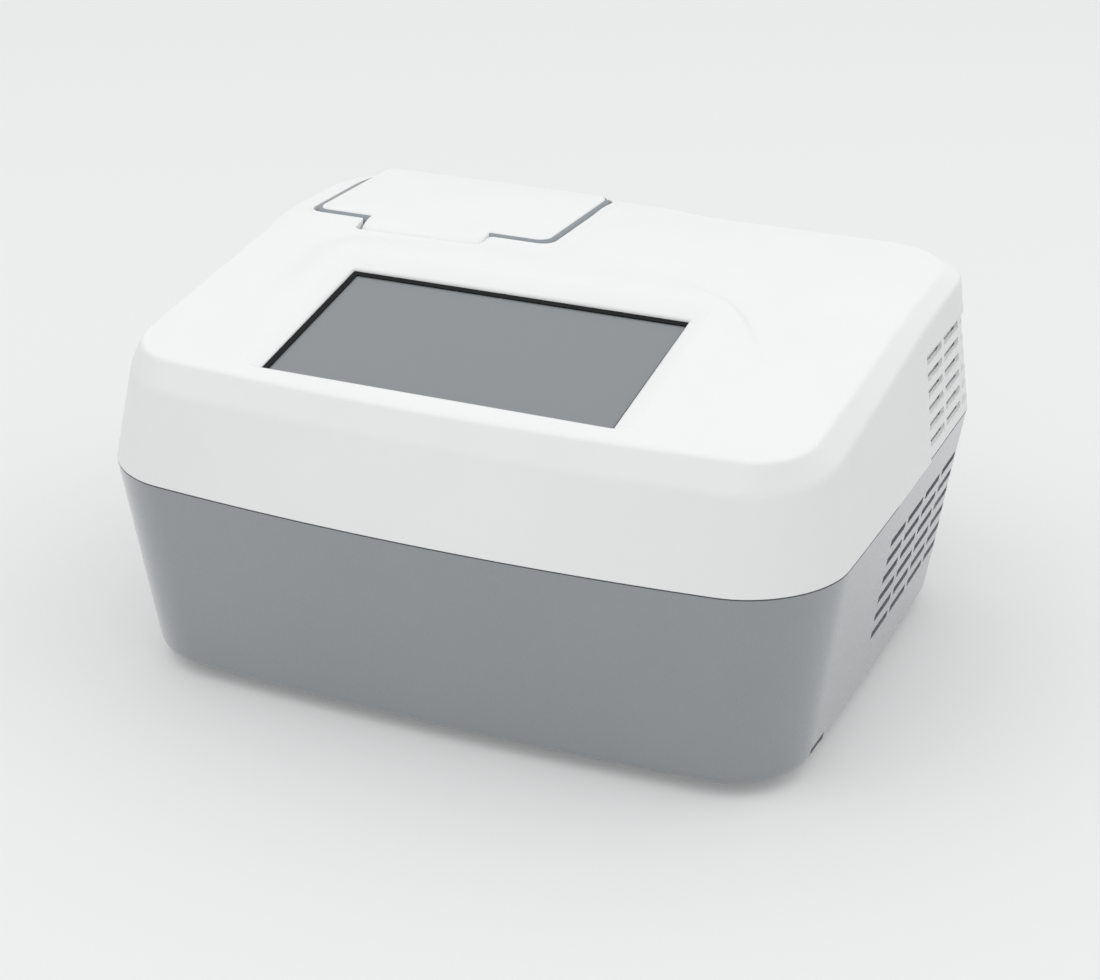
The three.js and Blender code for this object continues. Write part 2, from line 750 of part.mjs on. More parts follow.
// Bores for the housing screws: a wide one for the head from below, and one for the shank
function floorBores() {
  const head = bossHeadRadius + fitGap;
  const shank = bossBore + runningGap;
  const headDepth = bossHeadZ - footHeight + overrun;
  const shankDepth = bossSplitZ - bossHeadZ + 2 * overrun;
  return bossPlaces.flatMap(([x, y]) => [
    bar('z', head, head, headDepth, [x, y, footHeight - overrun]),
    bar('z', shank, shank, shankDepth, [x, y, bossHeadZ - overrun]),
  ]);
}

function lowerHousing() {
  const rimZ = partingHeight - seamGap / 2;
  const skin = skirtBody(0, footHeight, rimZ);
  const room = skirtBody(housingWall, floorZ, rimZ + overrun, 1, innerSkirtSteps);
  const tubeHeight = bossSplitZ - footHeight;
  const floorBosses = bossPlaces.map(([x, y]) => bar('z', bossRadius, bossRadius, tubeHeight, [x, y, footHeight]));
  const halfPanel = rearPanelWidth / 2;
  const collarX = [rearPanelX - halfPanel, rearPanelX + halfPanel];
  const collarZ = [rearPanelZ - rearPanelHeight / 2, rearPanelZ + rearPanelHeight / 2];
  const collarY = [rearPanelY + rearPanelThickness + fitGap, rearLine];
  const wallBody = skirtBody(housingWall / 2, footHeight + housingWall / 2, rimZ - housingWall / 2);
  const collar = slab(collarX, collarY, collarZ).intersect(wallBody);
  const rim = 3 * fitGap + housingWall;
  const collarHole = slab(
    [collarX[0] + rim, collarX[1] - rim],
    [collarY[0] - overrun, rearLine + overrun],
    [collarZ[0] + rim, collarZ[1] - rim],
  );
  const lastRowZ = lowerVentTopZ - (lowerVentRows - 1) * lowerVentPitchZ;
  const recessZ = [lastRowZ - lowerVentHeight / 2 - recessMargin, partingHeight + overrun];
  const cardY = [frontLine + cardSlotInset, frontLine + cardSlotInset + cardSlotLength];
  const cardZ = [floorZ + cardSlotRise, floorZ + cardSlotRise + cardSlotHeight];
  return cut(
    join(cut(skin, room), ...floorBosses, ...boardPosts(), collar),
    ...floorBores(),
    collarHole,
    sideRecess(lowerRecessFrontY, recessZ, skirtBody(ventRecess, footHeight - overrun, partingHeight + 2 * overrun)),
    ...ventTools(lowerVentColumns, lowerVentRows, lowerRecessFrontY, lowerVentTopZ, lowerVentPitchZ, lowerVentHeight),
    slab([halfWidth - bottomSideInset - 2 * overrun, halfWidth], cardY, cardZ),
  );
}

const footRadius = 9;
const footTaper = 1;
const footSideInset = 32.6;
const footFrontInset = 40.6;
const footRearInset = 48;

function addHousings() {
  addPiece('upper_housing', upperHousing(), whiteShell);
  addPiece('lower_housing', lowerHousing(), greyShell);
  const footX = halfWidth - bottomSideInset - footSideInset;
  const rows = [frontLine + footFrontInset, rearLine - footRearInset];
  rows.forEach((y, row) => [-footX, footX].forEach((x, column) => {
    const foot = bar('z', footRadius - footTaper, footRadius, footHeight - fitGap, [x, y, 0], roundSides);
    addPiece(`foot_${2 * row + column + 1}`, foot, blackRubber);
  }));
  const reach = bossHeadHeight + partingHeight - bossHeadZ - bossScrewShort;
  const headZ = bossHeadZ - fitGap - bossHeadHeight;
  bossPlaces.forEach(([x, y], i) => {
    const shank = bar('z', bossBore, bossBore, reach, [x, y, headZ]);
    const head = bar('z', bossHeadRadius, bossHeadRadius, bossHeadHeight, [x, y, headZ]);
    addPiece(`housing_screw_${i + 1}`, join(head, shank), brightSteel);
  });
}

function addDisplay() {
  const half = windowWidth / 2;
  const outerX = [-half - glassMargin, half + glassMargin];
  const outerY = [-glassFrontMargin, windowDepth + glassMargin];
  const gasketZ = [-windowRecess - touchGap - gasketThickness, -windowRecess - touchGap];
  const gasket = cut(slab(outerX, outerY, gasketZ), slab(
    [-half + gasketShowLeft, half - gasketShow],
    [gasketShow, windowDepth - gasketShowRear],
    [gasketZ[0] - skim, gasketZ[1] + skim],
  ));
  addPiece('display_gasket', inDisplayFrame(gasket), blackRubber);
  const glassZ = gasketZ[0] - touchGap;
  const glass = slab(outerX, outerY, [glassZ - glassThickness, glassZ]);
  addPiece('display_glass', inDisplayFrame(glass), displayGrey);
  const moduleTop = glassZ - glassThickness - touchGap;
  const moduleZ = [moduleTop - panelThickness, moduleTop];
  const moduleX = [outerX[0] + panelSideInset, outerX[1] - panelSideInset];
  const moduleY = [outerY[0] + panelFrontInset, outerY[1] - panelSideInset];
  const module = cut(slab(moduleX, moduleY, moduleZ), slab(
    [moduleX[0] + panelRim, moduleX[1] - panelRim],
    [moduleY[0] + panelRim, moduleY[1] - panelRim],
    [moduleZ[0] - skim, moduleZ[0] + panelHollow],
  ));
  addPiece('display_module', inDisplayFrame(module), sheetSteel);
  addBracket(moduleZ[0]);
}

function addBracket(moduleBack) {
  const plateTop = Math.min(moduleBack, -displayBackDepth) - fitGap / 2;
  const plateZ = [plateTop - bracketThickness, plateTop];
  const places = displayBossPlaces();
  const straps = [0, 2].map((i) => slab(
    [places[0][0] - bossRadius, places[1][0] + bossRadius],
    [places[i][1] - bossRadius, places[i][1] + bossRadius],
    plateZ,
  ));
  const spine = slab([-bossRadius * 3, bossRadius * 3], [places[0][1], places[2][1]], plateZ);
  const holes = places.map(([x, y]) => bar('z', bossBore + fitGap, bossBore + fitGap, 4 * bracketThickness, [
    x, y, plateZ[0] - bracketThickness,
  ]));
  addPiece('display_bracket', inDisplayFrame(cut(join(...straps, spine), ...holes)), sheetSteel);
  places.forEach(([x, y], i) => {
    const headZ = plateZ[0] - fitGap / 2 - screwHeadHeight;
    const head = bar('z', screwHeadRadius - screwHeadTaper, screwHeadRadius, screwHeadHeight, [x, y, headZ]);
    const reach = screwHeadHeight + displayScrewLength - 2 * bracketThickness;
    const shank = bar('z', bossBore, bossBore, reach, [x, y, headZ]);
    addPiece(`display_screw_${i + 1}`, inDisplayFrame(join(head, shank)), brightSteel);
  });
}

// Grip in one piece with the lid's cover: a hollow hook over the notch
function handleSolid() {
  const front = lidFrontY - handleReach;
  const low = lidTopZ - handleHeight;
  const root = lidFrontY + handleRoot;
  const profile = (inset) => {
    const shape = new THREE.Shape();
    const foot = inset > 0 ? low - overrun : low;
    shape.moveTo(root, foot);
    shape.lineTo(root, lidTopZ - inset);
    shape.lineTo(front + handleRadius, lidTopZ - inset);
    shape.absarc(front + handleRadius, lidTopZ - handleRadius, handleRadius - inset, Math.PI / 2, Math.PI);
    shape.lineTo(front + inset, foot);
    return shape;
  };
  const x = [lidX - handleWidth / 2, lidX + handleWidth / 2];
  const planDepth = handleReach + 2 * handleRadius;
  const planY = lidFrontY - handleReach / 2 + handleRadius;
  const plan = roundedShape(handleWidth, planDepth, handleRadius, lidX, planY);
  const outer = prismAlongX(profile(0), ...x).intersect(prism(plan, low - overrun, lidTopZ + overrun));
  const inner = prismAlongX(profile(coverThickness), x[0] + coverThickness, x[1] - coverThickness);
  return cut(outer, inner, slab(
    [x[0] - overrun, x[1] + overrun],
    [lidFrontY - rimReach - fitGap, lidFrontY + 2 * overrun],
    [low - overrun, lidTopZ - coverThickness],
  ));
}

const frameTopZ = lidTopZ - coverThickness - fitGap / 2;
const webTopZ = frameTopZ - webDrop;
const webBottomZ = webTopZ - webThickness;
const plateWidth = 84;
const plateDepth = 30;
const plateThickness = 4.4;
const plateClearance = 2.6;
const plateZ = blockTopZ + plateClearance;
const postInset = 8;
const postSpread = plateWidth / 2 - postInset;
const postRadius = 2;
const postHeadRadius = 3.4;
const postHeadHeight = 1.8;
const springRadius = 3.1;
const springWire = 0.45;
const springTurns = 3;
const springEndShare = 0.12;
const matThickness = 0.8;
const matInset = 3;
const matHoleGap = 1;
const magnetRadius = 3;
const magnetDepth = 2.2;
const magnetInset = 10.2;
const magnetSpread = lidWidth / 2 - magnetInset;
const magnetY = lidFrontY + magnetRadius;
const sealBottomZ = frameBottomZ - fitGap / 2 - sealHeight;

function lidPlan(grow, low, high) {
  const width = lidWidth + 2 * (rimReach + grow);
  const depth = lidDepth + rimReach + rimRearReach + 2 * grow;
  const y = lidFrontY - rimReach - grow + depth / 2;
  return prism(roundedShape(width, depth, Math.max(lidCornerRadius + rimReach / 2 + grow, skim), lidX, y), low, high);
}

// The tray's rim leans in from its outer edge to the cover's edge
function lidFrameSolid() {
  const slopes = [];
  const corner = Math.hypot(rimReach, rimChamfer);
  const angle = Math.atan2(rimChamfer, rimReach);
  const wedge = (length) => new THREE.BoxGeometry(length, 2 * corner, corner);
  for (const [length, turn, x, y] of [
    [2 * lidWidth, 0, lidX, lidFrontY - rimReach],
    [2 * lidWidth, Math.PI / 2, lidX + lidWidth / 2 + rimReach, lidFrontY],
    [2 * lidWidth, -Math.PI / 2, lidX - lidWidth / 2 - rimReach, lidFrontY],
  ]) {
    const geometry = wedge(length);
    geometry.translate(0, 0, corner / 2);
    geometry.rotateX(angle);
    geometry.rotateZ(turn);
    geometry.translate(x, y, frameTopZ - rimChamfer);
    slopes.push(solidOf(geometry));
  }
  const body = cut(lidPlan(0, frameBottomZ, frameTopZ), ...slopes);
  const above = lidPlan(-frameWall - rimReach, webTopZ, lidTopZ);
  const below = lidPlan(-frameWall, frameBottomZ - skim, webBottomZ);
  const pinBore = turningBore(hingePinRadius);
  return cut(
    join(cut(body, above, below), ...hingeLugs(), ...magnetSeats()),
    ...lidBores(postRadius + runningGap, postSpread, blockY, webBottomZ - skim, webThickness + 2 * skim, smallSides),
    ...lidBores(magnetRadius + runningGap, magnetSpread, magnetY, frameBottomZ - skim, magnetDepth + skim, smallSides),
    bar('x', pinBore, pinBore, hingePinLength, [hingeSpan[0], hingeY, hingeZ]),
  );
}

// A pair of upright bores, one on each side of the lid's middle
function lidBores(radius, spread, y, z, length, sides) {
  return [-1, 1].map((sign) => bar('z', radius, radius, length, [lidX + sign * spread, y, z], sides));
}

function hingeLugs() {
  return [-1, 1].map((sign) => {
    const x = lidX + sign * (hingePinLength / 2 - hingeEarWidth - hingeSideGap - hingeLugWidth / 2);
    const x0 = x - hingeLugWidth / 2;
    const eye = bar('x', hingeBarrelRadius, hingeBarrelRadius, hingeLugWidth, [x0, hingeY, hingeZ]);
    const arm = slab(
      [x0, x0 + hingeLugWidth],
      [lidFrontY + lidDepth - frameWall / 2, hingeY],
      [hingeZ - hingeBarrelRadius, hingeZ + hingeBarrelRadius / 2],
    );
    return join(eye, arm);
  });
}

function magnetSeats() {
  const width = 2 * magnetRadius + 2 * frameWall;
  const depth = 2 * magnetRadius + frameWall;
  const height = webBottomZ - frameBottomZ + webThickness / 2;
  return [-1, 1].map((sign) => block(width, depth, height, lidX + sign * magnetSpread, magnetY, frameBottomZ));
}

// A wire spring with level ends, wound round Z
function spring([x, y, z], height) {
  const points = [];
  const stepsPerTurn = 8;
  const steps = springTurns * stepsPerTurn;
  const climb = height - 2 * springWire;
  for (let step = 0; step <= steps; step++) {
    const share = step / steps;
    const angle = share * springTurns * 2 * Math.PI;
    const climbed = (share - springEndShare) / (1 - 2 * springEndShare);
    const level = springWire + climb * THREE.MathUtils.clamp(climbed, 0, 1);
    const across = x + springRadius * Math.cos(angle);
    points.push(new THREE.Vector3(across, y + springRadius * Math.sin(angle), z + level));
  }
  const section = new THREE.Shape();
  section.absarc(0, 0, springWire, 0, 2 * Math.PI);
  const extrudePath = new THREE.CatmullRomCurve3(points);
  const geometry = new THREE.ExtrudeGeometry(section, { steps, extrudePath, curveSegments: 3, bevelEnabled: false });
  return solidOf(geometry);
}

function addLid() {
  const coverPlan = roundedShape(lidWidth, lidDepth, lidCornerRadius, lidX, lidFrontY + lidDepth / 2);
  const cover = join(prism(coverPlan, lidTopZ - coverThickness, lidTopZ), handleSolid());
  addPiece('lid_cover', cover, whiteShell);
  addPiece('lid_frame', lidFrameSolid(), rimGrey);
  const sealHole = lidPlan(-sealInset - sealWidth, sealBottomZ - skim, frameBottomZ);
  const seal = cut(lidPlan(-sealInset, sealBottomZ, sealBottomZ + sealHeight), sealHole);
  addPiece('lid_seal', seal, siliconeGrey);
  const pin = bar('x', hingePinRadius, hingePinRadius, hingePinLength, [hingeSpan[0], hingeY, hingeZ]);
  addPiece('hinge_pin', pin, brightSteel);
  addHeatedPlate();
}

// The heated plate with its mat, on two sprung posts under the lid's web
function addHeatedPlate() {
  const plateTop = plateZ + plateThickness;
  const postFoot = plateZ + touchGap;
  const bore = postRadius + runningGap;
  const headBore = postHeadRadius + fitGap;
  const plate = cut(
    block(plateWidth, plateDepth, plateThickness, lidX, blockY, plateZ),
    ...lidBores(bore, postSpread, blockY, plateZ - skim, plateThickness + 2 * skim, smallSides),
    ...lidBores(headBore, postSpread, blockY, plateZ - skim, skim + postHeadHeight + fitGap, smallSides),
  );
  addPiece('heated_plate', plate, machinedAluminium);
  const matHole = springRadius + matHoleGap;
  const mat = cut(
    block(plateWidth - 2 * matInset, plateDepth - 2 * matInset, matThickness, lidX, blockY, plateTop + touchGap),
    ...lidBores(matHole, postSpread, blockY, plateTop - skim, 2 * skim + matThickness, smallSides),
  );
  addPiece('heater_mat', mat, matOrange);
  [-1, 1].forEach((sign, i) => {
    const x = lidX + sign * postSpread;
    const head = bar('z', postHeadRadius, postHeadRadius, postHeadHeight, [x, blockY, postFoot]);
    const post = join(head, bar('z', postRadius, postRadius, webTopZ - plateZ, [x, blockY, postFoot]));
    addPiece(`guide_post_${i + 1}`, post, brightSteel);
    const height = webBottomZ - plateTop - 2 * runningGap;
    addPiece(`plate_spring_${i + 1}`, spring([x, blockY, plateTop + runningGap], height), brightSteel);
    const magnetFoot = [lidX + sign * magnetSpread, magnetY, frameBottomZ + runningGap];
    addPiece(`lid_magnet_${i + 1}`, bar('z', magnetRadius, magnetRadius, magnetDepth - fitGap, magnetFoot), brightSteel);
  });
}

const ledgeZ = sealBottomZ - fitGap;
const trayWall = 2;
const trayGap = 1;
const trayFlare = 3;
const trayMouthInset = 2;
const notchFloorDrop = 19.3;
const notchFloorZ = lidTopZ - notchFloorDrop;

// The chamber's four-sided taper at two heights, grown by a margin
function chamberTaper(margin, floorTop, mouthZ) {
  const floorX = blockWidth / 2 + trayFlare + margin;
  const floorY = blockDepth / 2 + trayFlare + margin;
  const mouthX = lidWidth / 2 - trayMouthInset + margin;
  const mouthY = lidDepth / 2 - trayMouthInset + margin;
  const rings = [
    rectangleRing([blockX - floorX, blockX + floorX], [blockY - floorY, blockY + floorY], floorTop),
    rectangleRing([blockX - mouthX, blockX + mouthX], [blockY - mouthY, blockY + mouthY], mouthZ),
  ];
  return loft(rings, [blockX, blockY, floorTop], [blockX, blockY, mouthZ]);
}

// Tub under the lid: a ledge that the seal meets, a chamber that narrows to the block, and the notch's floor
function traySolid() {
  const under = crownBody(housingWall + fitGap, partingHeight, topHeight, innerCapShares);
  const grown = (margin, low, high) => join(prism(lidOpening(margin), low, high), prism(notchOutline(margin), low, high));
  const padX = openingHalfWidth + 2 * housingWall;
  const padClear = slab(
    [lidX - padX, lidX + padX],
    [hingeY - 2 * hingeBarrelRadius - fitGap, rearLine],
    [hingePadZ - 2 * housingWall - fitGap, lidTopZ],
  );
  const shell = join(
    prism(lidOpening(trayGap + trayWall), trayFloorZ, lidTopZ),
    prism(notchOutline(trayGap + trayWall), notchFloorZ - trayWall, lidTopZ),
  );
  const floorTop = trayFloorZ + trayFloorThickness;
  const throatWidth = blockWidth + 2 * fitGap;
  const throatDepth = blockDepth + 2 * fitGap;
  const notchRoom = prism(notchOutline(0), notchFloorZ, ledgeZ + skim).intersect(
    slab([lidX - lidWidth, lidX + lidWidth], [-bodyDepth, lidFrontY - rimReach], [0, lidTopZ]),
  );
  const hollowUnder = cut(
    prism(lidOpening(trayGap), trayFloorZ - skim, ledgeZ - trayWall),
    chamberTaper(trayWall, trayFloorZ - skim, ledgeZ),
  );
  return cut(
    shell.intersect(under),
    padClear,
    grown(trayGap, ledgeZ, lidTopZ + overrun),
    chamberTaper(0, floorTop, ledgeZ + skim),
    block(throatWidth, throatDepth, 2 * trayFloorThickness, blockX, blockY, trayFloorZ - skim),
    notchRoom,
    hollowUnder,
  );
}

// Tapered wells, drawn on past the block's face at the same taper
function wellTools() {
  const taper = (wellMouthRadius - wellTipRadius) / wellDepth;
  const wide = wellMouthRadius + taper * overrun;
  const tools = [];
  for (let row = 0; row < wellRows; row++) {
    for (let column = 0; column < wellColumns; column++) {
      const x = blockX + (column - (wellColumns - 1) / 2) * wellPitch;
      const y = blockY + (row - (wellRows - 1) / 2) * wellPitch;
      tools.push(bar('z', wellTipRadius, wide, wellDepth + overrun, [x, y, blockTopZ - wellDepth], wellSides));
    }
  }
  return tools;
}

// Optics in front of the block: plate, rails, screw and carriage, by their distance below the plate's top
const opticsTopDrop = 12.5;
const opticsHeight = 39;
const opticsPlateThickness = 3;
const opticsEarReach = 26;
const opticsAxisInset = 15.25;
const opticsWindowDrop = 3;
const opticsWindowHeight = 10;
const opticsWindowGap = 1.5;
const opticsTopZ = blockTopZ - opticsTopDrop;
const opticsBackY = blockY - sinkDepth / 2 - fitGap;
const opticsAxisY = opticsBackY - opticsAxisInset;
const opticsWindowZ = [opticsTopZ - opticsWindowDrop - opticsWindowHeight, opticsTopZ - opticsWindowDrop];
const railRadius = 2.5;
const railDrops = [31, 12];
const screwDrop = 21.5;
const screwAxisZ = opticsTopZ - screwDrop;
const leadScrewRadius = 3.5;
const leadScrewGap = 0.4;
const journalRadius = 2.5;
const carriageEndGap = 5.5;
const carriageDepth = 23.5;
const carriageBackGap = 3.75;
const carriageHeight = 33;
const carriageDrop = 3;
const lensDrop = 8;
const lensBarrelRadius = 4;
const lensRadius = 3;
const lensLength = 2;
const lensInset = 0.4;
const lensTipGap = 1;
const motorSize = 28;
const motorLength = 32;
const motorShaftReach = 10.7;
const scanTravel = (wellColumns - 1) * wellPitch;
const opticsWindowHalf = scanTravel / 2 + lensBarrelRadius + opticsWindowGap;
const carriageWidth = sinkWidth - 2 * opticsPlateThickness - scanTravel - 2 * carriageEndGap;
const detectorInset = 2;
const detectorGap = 0.2;

// Foam round the block, heat pumps and the air path under it
const insulationWidth = 104;
const insulationDepth = 56;
const pumpEdge = 0.5;
const pumpGap = 1;
const pumpWidth = (blockWidth - pumpGap) / 2 - pumpEdge;
const pumpDepth = blockDepth - 2 * pumpEdge;
const finRoot = 1;
const fanTopZ = sinkBottomZ - finHeight - fitGap;
const fanBottomZ = fanTopZ - fanThickness;
const ductSill = 6;
const ductHead = 8;

function heatSinkSolid() {
  const pitch = (sinkWidth - finThickness) / (finCount - 1);
  const fins = [];
  for (let i = 0; i < finCount; i++) {
    const x = blockX - sinkWidth / 2 + finThickness / 2 + i * pitch;
    fins.push(block(finThickness, sinkDepth, finHeight + finRoot, x, blockY, sinkBottomZ - finHeight));
  }
  return join(block(sinkWidth, sinkDepth, sinkBase, blockX, blockY, sinkBottomZ), ...fins);
}

// The sleeve that leads air up from the floor to the fan, open on both flanks
function ductSolid() {
  const low = floorZ + fitGap;
  const high = fanBottomZ - fitGap;
  const inner = ductWidth - 2 * ductWall;
  return cut(
    block(ductWidth, ductWidth, high - low, blockX, blockY, low),
    block(inner, inner, high - low + 2 * overrun, blockX, blockY, low - overrun),
    slab(
      [blockX - ductWidth, blockX + ductWidth],
      [blockY - ductWidth / 3, blockY + ductWidth / 3],
      [low + ductSill, high - ductHead],
    ),
  );
}

function addThermal() {
  addPiece('chamber_tray', traySolid(), rimGrey);
  const base = block(blockWidth, blockDepth, blockHeight, blockX, blockY, blockTopZ - blockHeight);
  addPiece('sample_block', cut(base, ...wellTools()), machinedAluminium);
  const foamZ = [sinkTopZ + fitGap, trayFloorZ - fitGap];
  const throatWidth = blockWidth + 2 * fitGap;
  const throatDepth = blockDepth + 2 * fitGap;
  const foam = cut(
    block(insulationWidth, insulationDepth, foamZ[1] - foamZ[0], blockX, blockY, foamZ[0]),
    block(throatWidth, throatDepth, foamZ[1] - foamZ[0] + 2 * overrun, blockX, blockY, foamZ[0] - overrun),
    slab([blockX - opticsWindowHalf, blockX + opticsWindowHalf], [blockY - insulationDepth, blockY], opticsWindowZ),
  );
  addPiece('block_insulation', foam, foamBlack);
  [-1, 1].forEach((sign, i) => {
    const x = blockX + (sign * (pumpWidth + pumpGap)) / 2;
    addPiece(`heat_pump_${i + 1}`, block(pumpWidth, pumpDepth, pumpThickness, x, blockY, sinkTopZ + fitGap), ceramicWhite);
  });
  addPiece('heat_sink', heatSinkSolid(), machinedAluminium);
  addFan();
  addPiece('fan_duct', ductSolid(), blackPlastic);
}

const fanBore = 37.5;
const fanCornerRadius = 4;
const fanHubRadius = 16;
const fanHubTaper = 1;
const fanHubPlate = 3;
const fanSpindleRadius = 1.5;
const fanSpindleSink = 1;
const fanStrutWidth = 4;
const fanStrutRoot = 1;
const fanStrutCount = 3;
const fanTipGap = 1;
const fanRotorGap = 0.6;
const fanBladeThickness = 1.6;
const fanBladeOver = 2;
const fanBladePitch = 0.7;

function fanFrameSolid() {
  const reach = fanBore + fanStrutRoot;
  const struts = [];
  for (let i = 0; i < fanStrutCount; i++) {
    const geometry = new THREE.BoxGeometry(reach, fanStrutWidth, fanHubPlate);
    geometry.translate(reach / 2, 0, fanHubPlate / 2);
    geometry.rotateZ((i * 2 * Math.PI) / fanStrutCount + Math.PI / 2);
    geometry.translate(blockX, blockY, fanBottomZ);
    struts.push(solidOf(geometry));
  }
  const square = prism(roundedShape(fanSize, fanSize, fanCornerRadius, blockX, blockY), fanBottomZ, fanTopZ);
  const throat = bar('z', fanBore, fanBore, fanThickness + 2 * skim, [blockX, blockY, fanBottomZ - skim], fanSides);
  const plate = bar('z', fanHubRadius, fanHubRadius, fanHubPlate, [blockX, blockY, fanBottomZ], roundSides);
  const bore = turningBore(fanSpindleRadius);
  const spindleBore = bar('z', bore, bore, fanHubPlate, [blockX, blockY, fanBottomZ + fanSpindleSink]);
  return cut(join(cut(square, throat), plate, ...struts), spindleBore);
}

function addFan() {
  addPiece('fan_frame', fanFrameSolid(), blackPlastic);
  const rotorZ = fanBottomZ + fanHubPlate + fanRotorGap;
  const rotorHeight = fanTopZ - fanTipGap - rotorZ;
  const length = fanBore - fanHubRadius;
  const blades = [];
  for (let i = 0; i < fanBladeCount; i++) {
    const geometry = new THREE.BoxGeometry(length, fanBladeThickness, rotorHeight + fanBladeOver);
    geometry.translate(fanHubRadius - fanHubTaper + length / 2, 0, 0);
    geometry.rotateX(fanBladePitch);
    geometry.rotateZ((i * 2 * Math.PI) / fanBladeCount);
    geometry.translate(blockX, blockY, rotorZ + rotorHeight / 2);
    blades.push(solidOf(geometry));
  }
  const sweepRadius = fanBore - fanTipGap;
  const sweep = bar('z', sweepRadius, sweepRadius, rotorHeight, [blockX, blockY, rotorZ], fanSides);
  const hub = bar('z', fanHubRadius, fanHubRadius - fanHubTaper, rotorHeight, [blockX, blockY, rotorZ], roundSides);
  const spindleZ = rotorZ - fanHubPlate + fanSpindleSink;
  const spindle = bar('z', fanSpindleRadius, fanSpindleRadius, fanHubPlate, [blockX, blockY, spindleZ]);
  addPiece('fan_rotor', join(hub, join(...blades).intersect(sweep), spindle), blackPlastic);
}

function addOptics() {
  const halfX = sinkWidth / 2;
  const wall = opticsPlateThickness;
  const [x0, x1] = [blockX - halfX, blockX + halfX];
  const plateY = [opticsBackY - wall, opticsBackY];
  const plateZs = [opticsTopZ - opticsHeight, opticsTopZ];
  const earY = [plateY[0] - opticsEarReach, plateY[1]];
  const railZs = railDrops.map((drop) => opticsTopZ - drop);
  const drill = (radius, z) => bar('x', radius, radius, sinkWidth + 2 * skim, [x0 - skim, opticsAxisY, z], opticsSides);
  const bracket = cut(
    join(slab([x0, x1], plateY, plateZs), slab([x0, x0 + wall], earY, plateZs), slab([x1 - wall, x1], earY, plateZs)),
    slab([blockX - opticsWindowHalf, blockX + opticsWindowHalf], [plateY[0] - skim, plateY[1] + skim], opticsWindowZ),
    drill(railRadius + runningGap, railZs[0]),
    drill(railRadius + runningGap, railZs[1]),
    drill(turningBore(journalRadius, opticsSides), screwAxisZ),
  );
  addPiece('optics_bracket', bracket, machinedAluminium);
  railZs.forEach((z, i) => {
    addPiece(`scan_rail_${i + 1}`, bar('x', railRadius, railRadius, sinkWidth, [x0, opticsAxisY, z], opticsSides), brightSteel);
  });
  const threadX = [x0 + wall + leadScrewGap, x1 - wall - leadScrewGap];
  const threadStart = [threadX[0], opticsAxisY, screwAxisZ];
  const journalLength = sinkWidth + motorShaftReach;
  const screw = join(
    bar('x', leadScrewRadius, leadScrewRadius, threadX[1] - threadX[0], threadStart, opticsSides),
    bar('x', journalRadius, journalRadius, journalLength, [x0, opticsAxisY, screwAxisZ], opticsSides),
  );
  addPiece('lead_screw', screw, brightSteel);
  addScanMotor(x1 + fitGap);
  addCarriage(railZs);
}

function addScanMotor(x) {
  const half = motorSize / 2;
  const bore = turningBore(journalRadius, opticsSides);
  const motor = cut(
    slab([x, x + motorLength], [opticsAxisY - half, opticsAxisY + half], [screwAxisZ - half, screwAxisZ + half]),
    bar('x', bore, bore, motorShaftReach + 2 * skim, [x - skim, opticsAxisY, screwAxisZ], opticsSides),
  );
  addPiece('scan_motor', motor, blackPlastic);
}

// The carriage stands at the first column of wells
function addCarriage(railZs) {
  const x = blockX - scanTravel / 2;
  const across = [x - carriageWidth / 2, x + carriageWidth / 2];
  const backY = opticsBackY - carriageBackGap;
  const along = [backY - carriageDepth, backY];
  const upright = [opticsTopZ - carriageDrop - carriageHeight, opticsTopZ - carriageDrop];
  const boreLength = carriageWidth + 2 * skim;
  const drill = (radius, z) => bar('x', radius, radius, boreLength, [across[0] - skim, opticsAxisY, z], opticsSides);
  const tipY = opticsBackY - lensTipGap;
  const tube = (radius, y0, y1) => {
    const geometry = new THREE.CylinderGeometry(radius, radius, y1 - y0, opticsSides);
    geometry.translate(x, (y0 + y1) / 2, opticsTopZ - lensDrop);
    return solidOf(geometry);
  };
  const lensBackY = tipY - lensInset - lensLength;
  const carriage = cut(
    join(slab(across, along, upright), tube(lensBarrelRadius, backY - skim, tipY)),
    drill(railRadius + runningGap, railZs[0]),
    drill(railRadius + runningGap, railZs[1]),
    drill(turningBore(leadScrewRadius, opticsSides), screwAxisZ),
    tube(lensRadius + runningGap, lensBackY - runningGap, tipY + skim),
  );
  addPiece('scan_carriage', carriage, blackPlastic);
  addPiece('scan_lens', tube(lensRadius, lensBackY, tipY - lensInset), lensGlass);
  const board = slab(
    [across[0] + detectorInset, across[1] - detectorInset],
    [along[0] - detectorGap - boardThickness, along[0] - detectorGap],
    [upright[0] + detectorInset, upright[1] - detectorInset],
  );
  addPiece('detector_board', board, boardGreen);
}

// Chips and connectors as shares: place, width and depth of the board, height of the tallest
const chipShares = [
  [-0.23, 0.12, 0.185, 0.24, 0.25],
  [0.14, 0.2, 0.123, 0.16, 0.2],
  [0.31, -0.22, 0.154, 0.14, 0.75],
  [-0.32, -0.34, 0.277, 0.08, 0.67],
  [0.08, -0.36, 0.215, 0.08, 0.67],
  [0.35, 0.3, 0.092, 0.22, 1],
];
const tallestChip = 12;
const chipRoot = 0.5;
const supplyGap = 21;
const supplySideMargin = 20.6;
const supplyRearGap = 50;
const supplyDepth = 76;
const supplyHeight = 36;
const supplyWall = 1.5;
const supplySlotCount = 7;
const supplySlotMargin = 10;
const supplySlotShare = 0.44;

